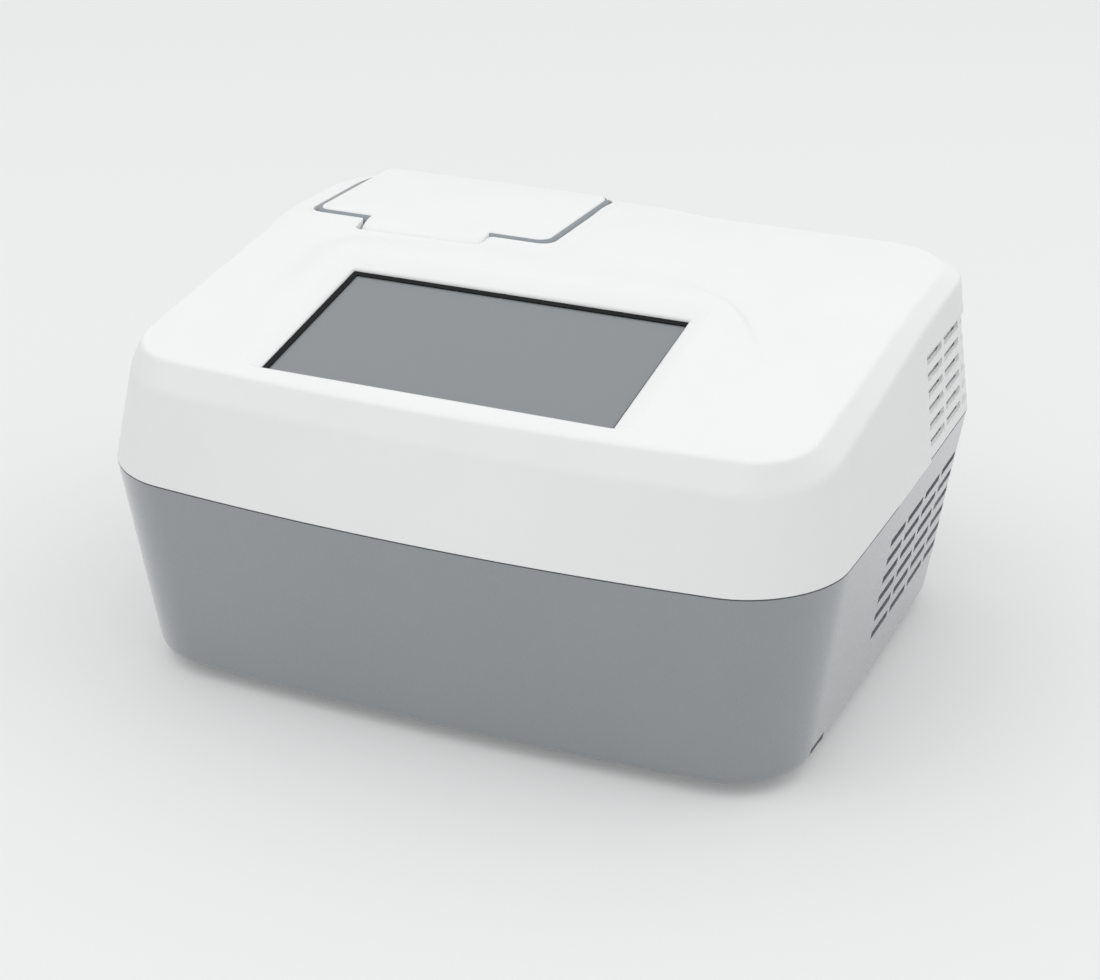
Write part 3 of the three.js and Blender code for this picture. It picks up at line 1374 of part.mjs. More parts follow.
function mainBoardSolid() {
  const boardZ = floorZ + boardPostHeight + fitGap;
  const top = boardZ + boardThickness;
  const chips = chipShares.map(([dx, dy, width, depth, height]) => block(
    width * boardWidth,
    depth * boardDepth,
    height * tallestChip + chipRoot,
    boardX + dx * boardWidth,
    boardY + dy * boardDepth,
    top - chipRoot,
  ));
  return join(block(boardWidth, boardDepth, boardThickness, boardX, boardY, boardZ), ...chips);
}

function supplySolid() {
  const x = [boardX + boardWidth / 2 + supplyGap, halfWidth - bottomSideInset - supplySideMargin];
  const rear = rearPanelY - supplyRearGap;
  const y = [rear - supplyDepth, rear];
  const z = [floorZ + fitGap, floorZ + fitGap + supplyHeight];
  const inset = ([low, high], by) => [low + by, high - by];
  const pitch = (supplyDepth - 2 * supplySlotMargin) / (supplySlotCount - 1 + supplySlotShare);
  const slots = [];
  for (let i = 0; i < supplySlotCount; i++) {
    const y0 = y[0] + supplySlotMargin + i * pitch;
    slots.push(slab(inset(x, supplySlotMargin), [y0, y0 + pitch * supplySlotShare], [z[1] - 2 * supplyWall, z[1] + skim]));
  }
  return cut(slab(x, y, z), slab(inset(x, supplyWall), inset(y, supplyWall), inset(z, supplyWall)), ...slots);
}

function addElectronics() {
  addPiece('main_board', mainBoardSolid(), boardGreen);
  addPiece('power_supply', supplySolid(), sheetSteel);
}

// Sockets on the rear panel, from its right edge on; the room that they leave is shared out between them
const inletMargin = 6.5;
const socketGapShares = [0.056, 0.261, 0.138];
const flangeThickness = 1.8;
const flangeReach = 2;
const inletSize = [27, 20];
const inletDepth = 24;
const inletWall = 1.8;
const inletRoomDepth = 16;
const pinPitch = 7;
const pinDrop = 2;
const pinWidth = 2;
const pinHeight = 4;
const pinSeat = 4;
const pinTipInset = 3;
const switchSize = [13, 19];
const switchFlangeReach = 1.2;
const socketProud = 0.8;
const usbSize = [13.2, 5.8];
const usbDepth = 13;
const usbWall = 0.6;
const usbRoomDepth = 10;
const usbTongue = [11, 1.6];
const usbTongueInset = 1;
const networkSize = [16, 13.5];
const networkDepth = 18;
const networkRoom = [11.8, 8];
const networkRoomDepth = 12;
const inletFlangeWidth = inletSize[0] + 2 * flangeReach;
const switchFlangeWidth = switchSize[0] + 2 * switchFlangeReach;
const socketWidths = inletFlangeWidth + switchFlangeWidth + usbSize[0] + networkSize[0];
const socketRoom = rearPanelWidth - inletMargin - socketWidths;
const inletX = rearPanelRight - inletMargin - inletFlangeWidth / 2;
const switchX = inletX - inletFlangeWidth / 2 - socketGapShares[0] * socketRoom - switchFlangeWidth / 2;
const usbX = switchX - switchFlangeWidth / 2 - socketGapShares[1] * socketRoom - usbSize[0] / 2;
const networkX = usbX - usbSize[0] / 2 - socketGapShares[2] * socketRoom - networkSize[0] / 2;

function onRear([width, height], y, x) {
  return slab([x - width / 2, x + width / 2], y, [rearPanelZ - height / 2, rearPanelZ + height / 2]);
}

function grownSize(size, by) {
  return size.map((length) => length + 2 * by);
}

function addRear() {
  const face = rearPanelY + rearPanelThickness;
  const through = [rearPanelY - skim, face + skim];
  const panel = cut(
    onRear([rearPanelWidth, rearPanelHeight], [rearPanelY, face], rearPanelX),
    onRear(grownSize(inletSize, fitGap), through, inletX),
    onRear(grownSize(switchSize, fitGap), through, switchX),
    onRear(grownSize(usbSize, fitGap), through, usbX),
    onRear(grownSize(networkSize, fitGap), through, networkX),
  );
  addPiece('rear_panel', panel, sheetSteel);
  const flangeY = [face + fitGap, face + fitGap + flangeThickness];
  addInlet(face, flangeY);
  addSwitch(flangeY);
  const mouth = face + socketProud;
  const usb = cut(
    onRear(usbSize, [face - usbDepth, mouth], usbX),
    onRear(grownSize(usbSize, -usbWall), [face - usbRoomDepth, mouth + skim], usbX),
  );
  const tongue = onRear(usbTongue, [face - usbRoomDepth - usbTongueInset, face - usbTongueInset], usbX);
  addPiece('usb_socket', join(usb, tongue), sheetSteel);
  const network = cut(
    onRear(networkSize, [face - networkDepth, mouth], networkX),
    onRear(networkRoom, [face - networkRoomDepth, mouth + skim], networkX),
  );
  addPiece('network_socket', network, sheetSteel);
}

// Power inlet with three blades: the middle one above its two neighbours
function addInlet(face, flangeY) {
  const roomBackY = flangeY[1] - inletRoomDepth;
  const places = [-1, 0, 1].map((side) => [side * pinPitch, side === 0 ? pinDrop : -pinDrop]);
  const pin = ([dx, dz], grow, y) => {
    const x = inletX + dx;
    const z = rearPanelZ + dz;
    const halfX = pinWidth / 2 + grow;
    const halfZ = pinHeight / 2 + grow;
    return slab([x - halfX, x + halfX], y, [z - halfZ, z + halfZ]);
  };
  const inlet = cut(
    join(
      onRear(inletSize, [face - inletDepth, flangeY[1]], inletX),
      onRear(grownSize(inletSize, flangeReach), flangeY, inletX),
    ),
    onRear(grownSize(inletSize, -inletWall), [roomBackY, flangeY[1] + skim], inletX),
    ...places.map((place) => pin(place, runningGap, [roomBackY - pinSeat, roomBackY + skim])),
  );
  addPiece('power_inlet', inlet, blackPlastic);
  places.forEach((place, i) => {
    addPiece(`inlet_pin_${i + 1}`, pin(place, 0, [roomBackY - pinSeat + fitGap, flangeY[1] - pinTipInset]), brass);
  });
}

const rockerHalf = 7.3;
const rockerWidth = 9.4;
const rockerGap = 0.2;
const rockerEndGap = 0.5;
const rockerPivotDepth = 5;
const rockerPivotRadius = 1;
const rockerPivotReach = 1;
const switchDepth = 16;
const switchRoomDepth = 9;
const rockerShares = [
  [-0.25, -0.27], [0.22, -1], [0.98, -0.85], [0.7, 0], [0.66, 0.96], [0.08, 1], [-0.25, 0.27],
];

// The rocker's outline is in shares of its half height, from its pivot
function addSwitch(flangeY) {
  const face = flangeY[0];
  const pivotY = flangeY[1] - rockerPivotDepth;
  const roomSize = [rockerWidth + 2 * rockerGap, 2 * (rockerHalf + rockerEndGap)];
  const bore = turningBore(rockerPivotRadius);
  const halfPivot = rockerWidth / 2 + rockerPivotReach;
  const boreStart = [switchX - halfPivot - rockerGap, pivotY, rearPanelZ];
  const body = cut(
    join(
      onRear(switchSize, [face - switchDepth, flangeY[1]], switchX),
      onRear(grownSize(switchSize, switchFlangeReach), flangeY, switchX),
    ),
    onRear(roomSize, [face - switchRoomDepth, flangeY[1] + skim], switchX),
    bar('x', bore, bore, 2 * (halfPivot + rockerGap), boreStart),
  );
  addPiece('switch_body', body, blackPlastic);
  const shape = polygon(rockerShares.map(([out, up]) => [pivotY + out * rockerHalf, up * rockerHalf]));
  const rocker = prismAlongX(shape, switchX - rockerWidth / 2, switchX + rockerWidth / 2).translate(0, 0, rearPanelZ);
  const spindle = bar('x', rockerPivotRadius, rockerPivotRadius, 2 * halfPivot, [switchX - halfPivot, pivotY, rearPanelZ]);
  addPiece('switch_rocker', join(rocker, spindle), blackPlastic);
}

addHousings();
addDisplay();
addLid();
addThermal();
addOptics();
addElectronics();
addRear();

export default pieces;
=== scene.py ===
import json
import math

import bmesh
import bpy
import numpy as np
from bpy.props import FloatProperty, FloatVectorProperty, PointerProperty
from mathutils import Matrix, Vector


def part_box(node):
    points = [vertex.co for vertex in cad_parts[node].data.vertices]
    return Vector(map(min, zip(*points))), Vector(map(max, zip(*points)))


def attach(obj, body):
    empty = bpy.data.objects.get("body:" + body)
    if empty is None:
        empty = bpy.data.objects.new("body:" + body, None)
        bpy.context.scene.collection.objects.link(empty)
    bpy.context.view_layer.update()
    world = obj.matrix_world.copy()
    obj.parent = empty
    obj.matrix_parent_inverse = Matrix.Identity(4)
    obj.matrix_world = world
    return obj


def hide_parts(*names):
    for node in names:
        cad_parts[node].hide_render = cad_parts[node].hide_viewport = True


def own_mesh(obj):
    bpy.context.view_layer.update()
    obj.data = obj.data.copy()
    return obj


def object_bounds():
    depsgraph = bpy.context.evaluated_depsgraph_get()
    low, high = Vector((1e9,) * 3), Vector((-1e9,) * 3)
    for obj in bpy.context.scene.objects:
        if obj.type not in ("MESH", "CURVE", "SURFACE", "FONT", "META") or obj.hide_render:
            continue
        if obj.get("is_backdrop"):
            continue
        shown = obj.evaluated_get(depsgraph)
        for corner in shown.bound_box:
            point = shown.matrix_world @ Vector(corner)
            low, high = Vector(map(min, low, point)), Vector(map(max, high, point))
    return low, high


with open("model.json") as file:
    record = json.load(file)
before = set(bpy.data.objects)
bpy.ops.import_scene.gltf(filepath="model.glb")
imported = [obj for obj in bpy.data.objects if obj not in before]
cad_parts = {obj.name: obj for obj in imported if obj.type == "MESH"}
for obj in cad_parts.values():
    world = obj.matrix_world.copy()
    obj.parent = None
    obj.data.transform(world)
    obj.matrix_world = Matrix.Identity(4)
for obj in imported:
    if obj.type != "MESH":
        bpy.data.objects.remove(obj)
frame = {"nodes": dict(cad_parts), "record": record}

bl_info = {
    "name": "Bench-top thermal cycler looks",
    "version": (1, 0, 0),
    "blender": (4, 5, 0),
    "location": "View3D > Sidebar > Cycler",
    "description": "Builds the fine housings, lid, display and finishes round the packed part",
    "category": "Object",
}

MM = 0.001
CAD_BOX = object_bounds()


def box_of(node):
    """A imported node's lowest and highest corners in millimetres."""
    return [np.array(corner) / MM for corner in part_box(node)]


def linear(code):
    """sRGB hex to linear colour."""
    values = [int(code[i:i + 2], 16) / 255 for i in (0, 2, 4)]
    return [v / 12.92 if v <= 0.04045 else ((v + 0.055) / 1.055) ** 2.4 for v in values]


# Sizes in millimetres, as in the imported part.
# Housings: plan at the seam, where the bevel starts and ends, and the heights of the seam and of the top's front
HALF_WIDTH = 161.2
FRONT, REAR = -118.6, 130.0
RIDGE_FRONT_INSET, RIDGE_SIDE_INSET = 8.5, 6.8
BEVEL_DEPTH, BEVEL_WIDTH = 5.9, 7.3
BEVEL_FRONT_FALL, BEVEL_REAR_FALL = 11.8, 3.0
TOP_FRONT = FRONT + RIDGE_FRONT_INSET + BEVEL_DEPTH
TOP_REAR = REAR - RIDGE_FRONT_INSET - BEVEL_DEPTH
TOP_HALF = HALF_WIDTH - RIDGE_SIDE_INSET - BEVEL_WIDTH
TOP_LOW, SEAM, WALL = 146.0, 95.8, 2.8
WALL_BULGE, FRONT_BOW, FRONT_RADIUS, REAR_RADIUS = 1.3, 11.4, 38.5, 32.5
RIM_BOW, RIDGE_RADIUS, RIM_RADIUS = 6.0, 33.0, 21.5
# The skirt's foot: its height, how far it lies in from the seam, and its own front
FOOT_Z, FOOT_TAPER, FOOT_END_TAPER, FOOT_BOW, FOOT_RADIUS = 5.0, 12.6, 11.7, 7.0, 31.0
# The top: its slope, where that has run out level, its crown across, and how proud the raised part is at the rear
TOP_SLOPE, LEVEL_FROM, LEVEL_EASE = 0.116, 143.3, 10.0
CROWNING, PROUD = 6.5, 3.1
# The step beside the raised part as a share of its full height, and the height that the top stays under
STEP_SHARE, TOP_LIMIT, LIMIT_EASE = 0.55, 169.6, 0.6
# How far the flat round the window and the level round the lid reach before they ease out
WINDOW_EASE, DECK_EDGE, DECK_EASE = 26.0, 6.0, 24.0
# Lid and hinge
LID_X, LID_FRONT, LID_TOP = -74.1, 36.3, 170.3
LID_WIDTH, LID_DEPTH = 112.4, 70.4
LID_REAR = LID_FRONT + LID_DEPTH
DECK_Z = LID_TOP - 2.6
HINGE_Y, HINGE_Z, PIN_HALF = 111.3, 164.8, 39.0
POST_X, MAGNET_X, MAGNET_Y = 34.0, 46.0, 39.3
# Sample block and its wells
BLOCK_Y, BLOCK_TOP = LID_FRONT + LID_DEPTH / 2, 148.5
WELL_PITCH, WELL_DEPTH = 9.0, 18.0
# Window, rear panel and air slots
WINDOW_X, WINDOW_FRONT, WINDOW_WIDTH, WINDOW_DEPTH = -7.5, -100.5, 155.0, 85.385
PANEL_FACE, PANEL_Z = 116.0, 47.0
FLANGE_BACK, FLANGE, SOCKET_MOUTH = PANEL_FACE + 0.25, 1.8, PANEL_FACE + 0.8
SLOT_LENGTH, SLOT_STEP = 23.6, 27.4

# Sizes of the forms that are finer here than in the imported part.
# The window's slope: its width at the sides and the rear, and how much higher the top is at its rear than at its front
SLOPE_SIDE, SLOPE_REAR, SURROUND = 8.5, 9.5, 2.3
# Width of the raised part's crease at the front and beside the lid, and where it changes
CREASE_FRONT, CREASE_LID, CREASE_FROM, CREASE_RUN = 5.0, 27.0, -20.0, 70.0
# How far the lid's cover grows over the rim
COVER = 1.1
# Splash baffle behind the upper slots: how deep it starts, its passage starts and it ends
BAFFLE_FRONT, BAFFLE_FACE, BAFFLE_BACK = 2.7, 3.7, 4.9
# Springs about the guide posts
SPRING_LOW, SPRING_TOP, PLATE_TRAVEL = 155.62, 161.37, 2.5
SPRING_RADIUS, WIRE, SPRING_TURNS = 3.1, 0.45, 3


# What a user would change

def length_setting(name, text, default):
    """A length setting, its default in millimetres."""
    return FloatProperty(
        name=name, description=text, default=default * MM, min=0, precision=5, subtype="DISTANCE", unit="LENGTH",
    )


def colour_setting(name, text, code):
    """A colour setting, its default in sRGB hex."""
    return FloatVectorProperty(
        name=name, description=text, default=linear(code), min=0, max=1, size=3, subtype="COLOR",
    )


class CyclerSizes(bpy.types.PropertyGroup):
    """Sizes of the fine forms."""
    ridge_softness: length_setting("Ridge softness", "How far the bevel's outer edge is rounded", 1.7)
    rim_softness: length_setting("Rim softness", "How far the bevel's inner edge is rounded", 1.9)
    seam_gap: length_setting("Seam gap", "Height of the gap between the two housings", 0.6)
    lip_width: length_setting("Lip width", "Width of the bead round the lid's opening", 3.2)
    lip_height: length_setting("Lip height", "Height of the bead round the lid's opening", 1.5)
    window_drop: length_setting("Window drop", "How far the window's sloped frame falls", 2.2)
    cover_edge: length_setting("Cover edge", "Radius of the lid cover's edge", 1.1)
    grip_round: length_setting("Grip round", "Radius of the grip's ends", 2.2)
    well_mouth: length_setting("Well mouth", "Diameter of a well at the block's face", 5.5)
    slot_corner: length_setting("Slot corner", "Corner radius of the air slots", 0.9)


class CyclerColours(bpy.types.PropertyGroup):
    """Colours of the finishes."""
    white_shell: colour_setting("White shell", "Upper housing and lid cover", "f1f2f2")
    grey_shell: colour_setting("Grey shell", "Lower housing", "9b9fa3")
    rim_grey: colour_setting("Rim grey", "Lid rim and tub", "8f969b")
    black_plastic: colour_setting("Black plastic", "Inlet, switch, fan and carriage", "202123")
    black_rubber: colour_setting("Black rubber", "Feet and display gasket", "121314")
    display_face: colour_setting("Display", "Screen that is switched off", "85898c")
    aluminium: colour_setting("Aluminium", "Block, plate and heat sink", "c6c9cc")
    board: colour_setting("Board", "Solder mask of the boards", "24573a")


def size(name):
    """A fine size in millimetres."""
    return getattr(bpy.context.scene.cycler_sizes, name) / MM


# The housings' surface

def outline(side, front, rear, front_r, rear_r, bow, bulge, corner=18, fronts=96, sides=76, rears=88):
    """Plan outline with round corners, a bowed front and slightly bowed sides, counter-clockwise."""
    places = [
        (-side + front_r, front + front_r, front_r, math.pi, fronts),
        (side - front_r, front + front_r, front_r, math.pi * 1.5, sides),
        (side - rear_r, rear - rear_r, rear_r, 0.0, rears),
        (-side + rear_r, rear - rear_r, rear_r, math.pi / 2, sides),
    ]
    points = []
    for i, (x, y, radius, start, steps) in enumerate(places):
        for step in range(corner + 1):
            angle = start + step / corner * math.pi / 2
            points.append((x + radius * math.cos(angle), y + radius * math.sin(angle)))
        next_x, next_y, next_radius, next_start, _ = places[(i + 1) % 4]
        end = (next_x + next_radius * math.cos(next_start), next_y + next_radius * math.sin(next_start))
        begin = points[-1]
        for step in range(1, steps):
            share = step / steps
            points.append((begin[0] + (end[0] - begin[0]) * share, begin[1] + (end[1] - begin[1]) * share))
    p = np.array(points)
    middle, half = (front + rear) / 2, (rear - front) / 2
    front_share = np.clip((middle - p[:, 1]) / half, 0, 1)
    across = np.abs(p[:, 0]) / side
    along = (p[:, 1] - middle) / half
    x = p[:, 0] + np.sign(p[:, 0]) * bulge * (1 - along**2) * across
    y = p[:, 1] - bow * (1 - across**2) * front_share
    return np.stack([x, y], 1)


def smooth(t):
    """Eases from 0 to 1."""
    t = np.clip(t, 0, 1)
    return t * t * (3 - 2 * t)


def rise(y):
    """How far the top has risen at y: a slope that runs out level."""
    level = lambda u: u - LEVEL_EASE * np.log1p(np.exp((u - LEVEL_FROM) / LEVEL_EASE))
    return TOP_SLOPE * (level(y - TOP_FRONT) - level(np.float64(0)))


def top_share(y):
    """Nought at the top's front edge and one at its rear edge."""
    return np.clip((y - TOP_FRONT) / (TOP_REAR - TOP_FRONT), 0, 1)


def top_height(x, y):
    """The lower right part of the top, drawn on under the raised part."""
    along = top_share(y)
    across = np.clip(np.abs(x) / TOP_HALF, 0, 1)
    return TOP_LOW + rise(y) + CROWNING * (1 - across**2) * 4 * along * (1 - along)


def raised_edge():
    """The raised part's right edge in plan, as a dense smooth line."""
    points = np.array([
        (16.2, 143), (18.2, 121), (22, 84), (29, 49), (42, 28), (63, 13),
        (89, -4), (106, -29), (112, -56), (116, -78), (117, -143),
    ])
    for _ in range(4):
        finer = [points[0]]
        for a, b in zip(points[:-1], points[1:]):
            finer += [a * 0.75 + b * 0.25, a * 0.25 + b * 0.75]
        points = np.array(finer + [points[-1]])
    return points


EDGE_LINE = raised_edge()


def inside_edge(x, y):
    """Signed distance to the raised part's edge in mm, positive on the raised side."""
    shape = np.shape(x)
    p = np.stack([np.ravel(x), np.ravel(y)], 1)
    best = np.full(len(p), 1e9)
    sign = np.zeros(len(p))
    for s, e in zip(EDGE_LINE[:-1], EDGE_LINE[1:]):
        d = e - s
        t = np.clip(((p - s) @ d) / (d @ d), 0, 1)
        v = p - (s + t[:, None] * d)
        dist = np.hypot(v[:, 0], v[:, 1])
        nearer = dist < best
        side = d[0] * (p[:, 1] - s[1]) - d[1] * (p[:, 0] - s[0])
        best = np.where(nearer, dist, best)
        sign = np.where(nearer, np.sign(-side), sign)
    return (best * np.where(sign == 0, 1, sign)).reshape(shape)


def proud_height(x, y):
    """The raised part of the top, which stands ever prouder to the rear."""
    return top_height(x, y) + PROUD * np.clip((y - TOP_FRONT) / LEVEL_FROM, 0, 1)


DISPLAY_Z = float(proud_height(np.float64(WINDOW_X), np.float64(WINDOW_FRONT)))
DISPLAY_TILT = math.atan2(
    float(proud_height(np.float64(WINDOW_X), np.float64(WINDOW_FRONT + WINDOW_DEPTH))) - DISPLAY_Z, WINDOW_DEPTH,
)


def raised_height(x, y):
    """The whole top: its raised left and middle, flat round the window and level round the lid."""
    proud = proud_height(x, y)
    low = top_height(x, y) * STEP_SHARE + proud * (1 - STEP_SHARE)
    dx = np.maximum(np.abs(x - WINDOW_X) - WINDOW_WIDTH / 2 - SLOPE_SIDE, 0)
    dy = np.maximum(np.maximum(WINDOW_FRONT - y, y - WINDOW_FRONT - WINDOW_DEPTH - SLOPE_REAR), 0)
    flat = 1 - smooth(np.hypot(dx, dy) / WINDOW_EASE)
    plane = DISPLAY_Z + (y - WINDOW_FRONT) * math.tan(DISPLAY_TILT)
    plane = plane + SURROUND * np.clip((y - WINDOW_FRONT) / WINDOW_DEPTH, 0, 1)
    proud = proud + (plane - proud) * flat
    crease = CREASE_FRONT + (CREASE_LID - CREASE_FRONT) * smooth((y - CREASE_FROM) / CREASE_RUN)
    height = low + (proud - low) * smooth((inside_edge(x, y) + crease / 2) / crease)
    dx = np.maximum(np.abs(x - LID_X) - LID_WIDTH / 2, 0)
    dy = np.maximum(np.maximum(LID_FRONT - y, y - LID_FRONT - LID_DEPTH / 2), 0)
    deck = 1 - smooth((np.hypot(dx, np.minimum(dy, DECK_EDGE + DECK_EASE)) - DECK_EDGE) / DECK_EASE)
    height = height + (DECK_Z - height) * deck
    return height - LIMIT_EASE * np.log1p(np.exp((height - TOP_LIMIT) / LIMIT_EASE))


# Mesh tools

def scene_object(name, data):
    """A new object in the scene's collection."""
    obj = bpy.data.objects.new(name, data)
    bpy.context.scene.collection.objects.link(obj)
    return obj


def mesh_of(name, verts, faces):
    """An object from vertices in metres and faces."""
    mesh = bpy.data.meshes.new(name)
    mesh.from_pydata([tuple(v) for v in verts], [], faces)
    mesh.update()
    return scene_object(name, mesh)


def loft(name, rings, axis="z"):
    """A closed body through rings of equal point count, capped with fans."""
    count = len(rings[0])
    verts = np.concatenate(rings) * MM
    faces = []
    for r in range(len(rings) - 1):
        for i in range(count):
            j = (i + 1) % count
            faces.append((r * count + i, r * count + j, (r + 1) * count + j, (r + 1) * count + i))
    verts = np.concatenate([verts, [verts[:count].mean(0)], [verts[-count:].mean(0)]])
    last = (len(rings) - 1) * count
    for i in range(count):
        j = (i + 1) % count
        faces.append((j, i, len(verts) - 2))
        faces.append((last + i, last + j, len(verts) - 1))
    # Rings drawn out along another axis than Z
    if axis == "x":
        verts = verts[:, [2, 0, 1]]
    if axis == "y":
        verts = verts[:, [0, 2, 1]]
        faces = [f[::-1] for f in faces]
    return mesh_of(name, verts, faces)


def tube(name, rings):
    """A closed ring-shaped body: its last ring joins its first."""
    count = len(rings[0])
    verts = np.concatenate(rings) * MM
    faces = []
    for r in range(len(rings)):
        after = (r + 1) % len(rings)
        for i in range(count):
            j = (i + 1) % count
            faces.append((r * count + i, r * count + j, after * count + j, after * count + i))
    return mesh_of(name, verts, faces)


def with_z(points, z):
    """Plan points with their height, one for all or one for each."""
    return np.column_stack([points, np.broadcast_to(z, len(points))])


def prism(name, points, low, high, axis="z"):
    """A closed prism over a polygon, drawn out along an axis."""
    return loft(name, [with_z(np.array(points, float), low), with_z(np.array(points, float), high)], axis)


def slab(name, low, high):
    """A box between two corners, for cutting and joining."""
    points = [(low[0], low[1]), (high[0], low[1]), (high[0], high[1]), (low[0], high[1])]
    return prism(name, points, low[2], high[2])


def round_rect(cx, cy, width, depth, radius, steps=8):
    """A rectangle about a centre, with round corners."""
    points = []
    for sx, sy, start in ((-1, -1, math.pi), (1, -1, 1.5 * math.pi), (1, 1, 0), (-1, 1, math.pi / 2)):
        for k in range(steps + 1):
            angle = start + k / steps * math.pi / 2
            points.append((
                cx + sx * (width / 2 - radius) + radius * math.cos(angle),
                cy + sy * (depth / 2 - radius) + radius * math.sin(angle),
            ))
    return np.array(points)


def round_corners(points, radii, steps=8):
    """A polygon with its corners rounded, each by its own radius."""
    points = np.array(points, float)
    radii = np.broadcast_to(radii, len(points))
    result = []
    for i, here in enumerate(points):
        back, ahead = points[i - 1] - here, points[(i + 1) % len(points)] - here
        back_len, ahead_len = np.linalg.norm(back), np.linalg.norm(ahead)
        cosine = float(back @ ahead / back_len / ahead_len)
        half = math.acos(max(-1, min(1, cosine))) / 2
        reach = min(radii[i] / math.tan(half), back_len * 0.48, ahead_len * 0.48)
        start, stop = here + back / back_len * reach, here + ahead / ahead_len * reach
        for k in range(steps + 1):
            t = k / steps
            result.append(start * (1 - t) ** 2 + here * 2 * t * (1 - t) + stop * t * t)
    return np.array(result)


def rod(name, axis, radius, start, reach, sides=48, end=None, chamfer=0.0):
    """A round bar from one end's centre along an axis, with softened ends."""
    x, y, z = start
    centre, low = {"x": ((y, z), x), "y": ((x, z), y), "z": ((x, y), z)}[axis]
    end = radius if end is None else end
    profile = [(radius, 0), (end, reach)]
    if chamfer:
        profile = [(radius - chamfer, 0), (radius, chamfer), (end, reach - chamfer), (end - chamfer, reach)]
    return lathe(name, axis, centre, [(r, low + h) for r, h in profile], sides)


def lathe(name, axis, centre, profile, sides=48):
    """A turned body: radius and place along the axis, from its low end to its high end."""
    angles = np.arange(sides) / sides * 2 * math.pi
    circle = np.column_stack([np.cos(angles), np.sin(angles)])
    return loft(name, [with_z(circle * r + np.array(centre), h) for r, h in profile], axis)


def merged(name, objects):
    """One object that holds the meshes of several."""
    bm = bmesh.new()
    for obj in objects:
        bm.from_mesh(obj.data)
        drop(obj)
    mesh = bpy.data.meshes.new(name)
    bm.to_mesh(mesh)
    bm.free()
    return scene_object(name, mesh)


def drop(obj):
    """Removes an object and its mesh."""
    mesh = obj.data
    bpy.data.objects.remove(obj)
    bpy.data.meshes.remove(mesh)


def boolean(obj, tool, operation):
    """Applies a boolean with a tool object, which is removed."""
    modifier = obj.modifiers.new("cut", "BOOLEAN")
    modifier.operation = operation
    modifier.object = tool
    modifier.solver = "MANIFOLD"
    bpy.context.view_layer.update()
    graph = bpy.context.evaluated_depsgraph_get()
    mesh = bpy.data.meshes.new_from_object(obj.evaluated_get(graph))
    old = obj.data
    obj.modifiers.clear()
    obj.data = mesh
    bpy.data.meshes.remove(old)
    drop(tool)
    return obj


def cut(obj, *tools):
    """Takes tools away from a body."""
    for tool in tools:
        boolean(obj, tool, "DIFFERENCE")
    return obj


def join(obj, *others):
    """Adds others to a body, as one solid."""
    for other in others:
        boolean(obj, other, "UNION")
    return obj


def body_of(node):
    """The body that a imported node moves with."""
    bodies = frame["record"]["behaviour"]["bodies"]
    return next(name for name, nodes in bodies.items() if node in nodes)


def slot_of(node):
    """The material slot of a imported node."""
    return next(s["material_slot"] for s in frame["record"]["subparts"] if s["node"] == node)


def dress(obj, node, angle):
    """Shades an object smooth up to an angle between faces, and gives it the finish of a node's slot."""
    for polygon in obj.data.polygons:
        polygon.use_smooth = True
    obj.data.set_sharp_from_angle(angle=math.radians(angle))
    obj.data.materials.clear()
    obj.data.materials.append(finish(slot_of(node)))


def stand_for(obj, node, angle=30):
    """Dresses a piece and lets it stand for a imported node."""
    dress(obj, node, angle)
    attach(obj, body_of(node))
    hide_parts(node)
    return obj


# Housings

# Points in an outline that no one sees
COARSE = dict(corner=8, fronts=16, sides=16, rears=8)


def crown(name, inset, base, height_at, fine=True):
    """Outer form of the upper housing moved in by an inset, from its base up to a height field."""
    wall = dict(rear_r=REAR_RADIUS - inset, bulge=WALL_BULGE, **({} if fine else COARSE))
    parting = outline(HALF_WIDTH - inset, FRONT + inset, REAR - inset, FRONT_RADIUS - inset, bow=FRONT_BOW, **wall)
    ridge = outline(
        HALF_WIDTH - RIDGE_SIDE_INSET - inset, FRONT + RIDGE_FRONT_INSET + inset,
        REAR - RIDGE_FRONT_INSET - inset, RIDGE_RADIUS - inset, bow=RIM_BOW, **wall,
    )
    rim_radius = RIM_RADIUS - inset / 2
    rim = outline(TOP_HALF - inset, TOP_FRONT + inset, TOP_REAR - inset, rim_radius, bow=RIM_BOW, **wall)
    bevel = BEVEL_FRONT_FALL + (BEVEL_REAR_FALL - BEVEL_FRONT_FALL) * top_share(ridge[:, 1])
    ridge_z = TOP_LOW + rise(ridge[:, 1]) - bevel - inset / 2
    middle = (TOP_FRONT + TOP_REAR) / 2

    def cap(share):
        """The rim drawn in towards the middle of the top."""
        x = rim[:, 0] * share
        y = middle + (rim[:, 1] - middle) * share
        return np.column_stack([x, y, height_at(x, y) - inset])

    shell = rounded_rings(
        [with_z(parting, base), with_z(ridge, ridge_z), cap(1), cap(0.95)],
        (size("ridge_softness"), size("rim_softness")), 6 if fine else 2,
    )
    shares = np.linspace(0.985, 0.01, 116) if fine else np.linspace(0.9, 0.05, 10)
    return loft(name, shell[:-1] + [cap(s) for s in shares if s < 0.955])


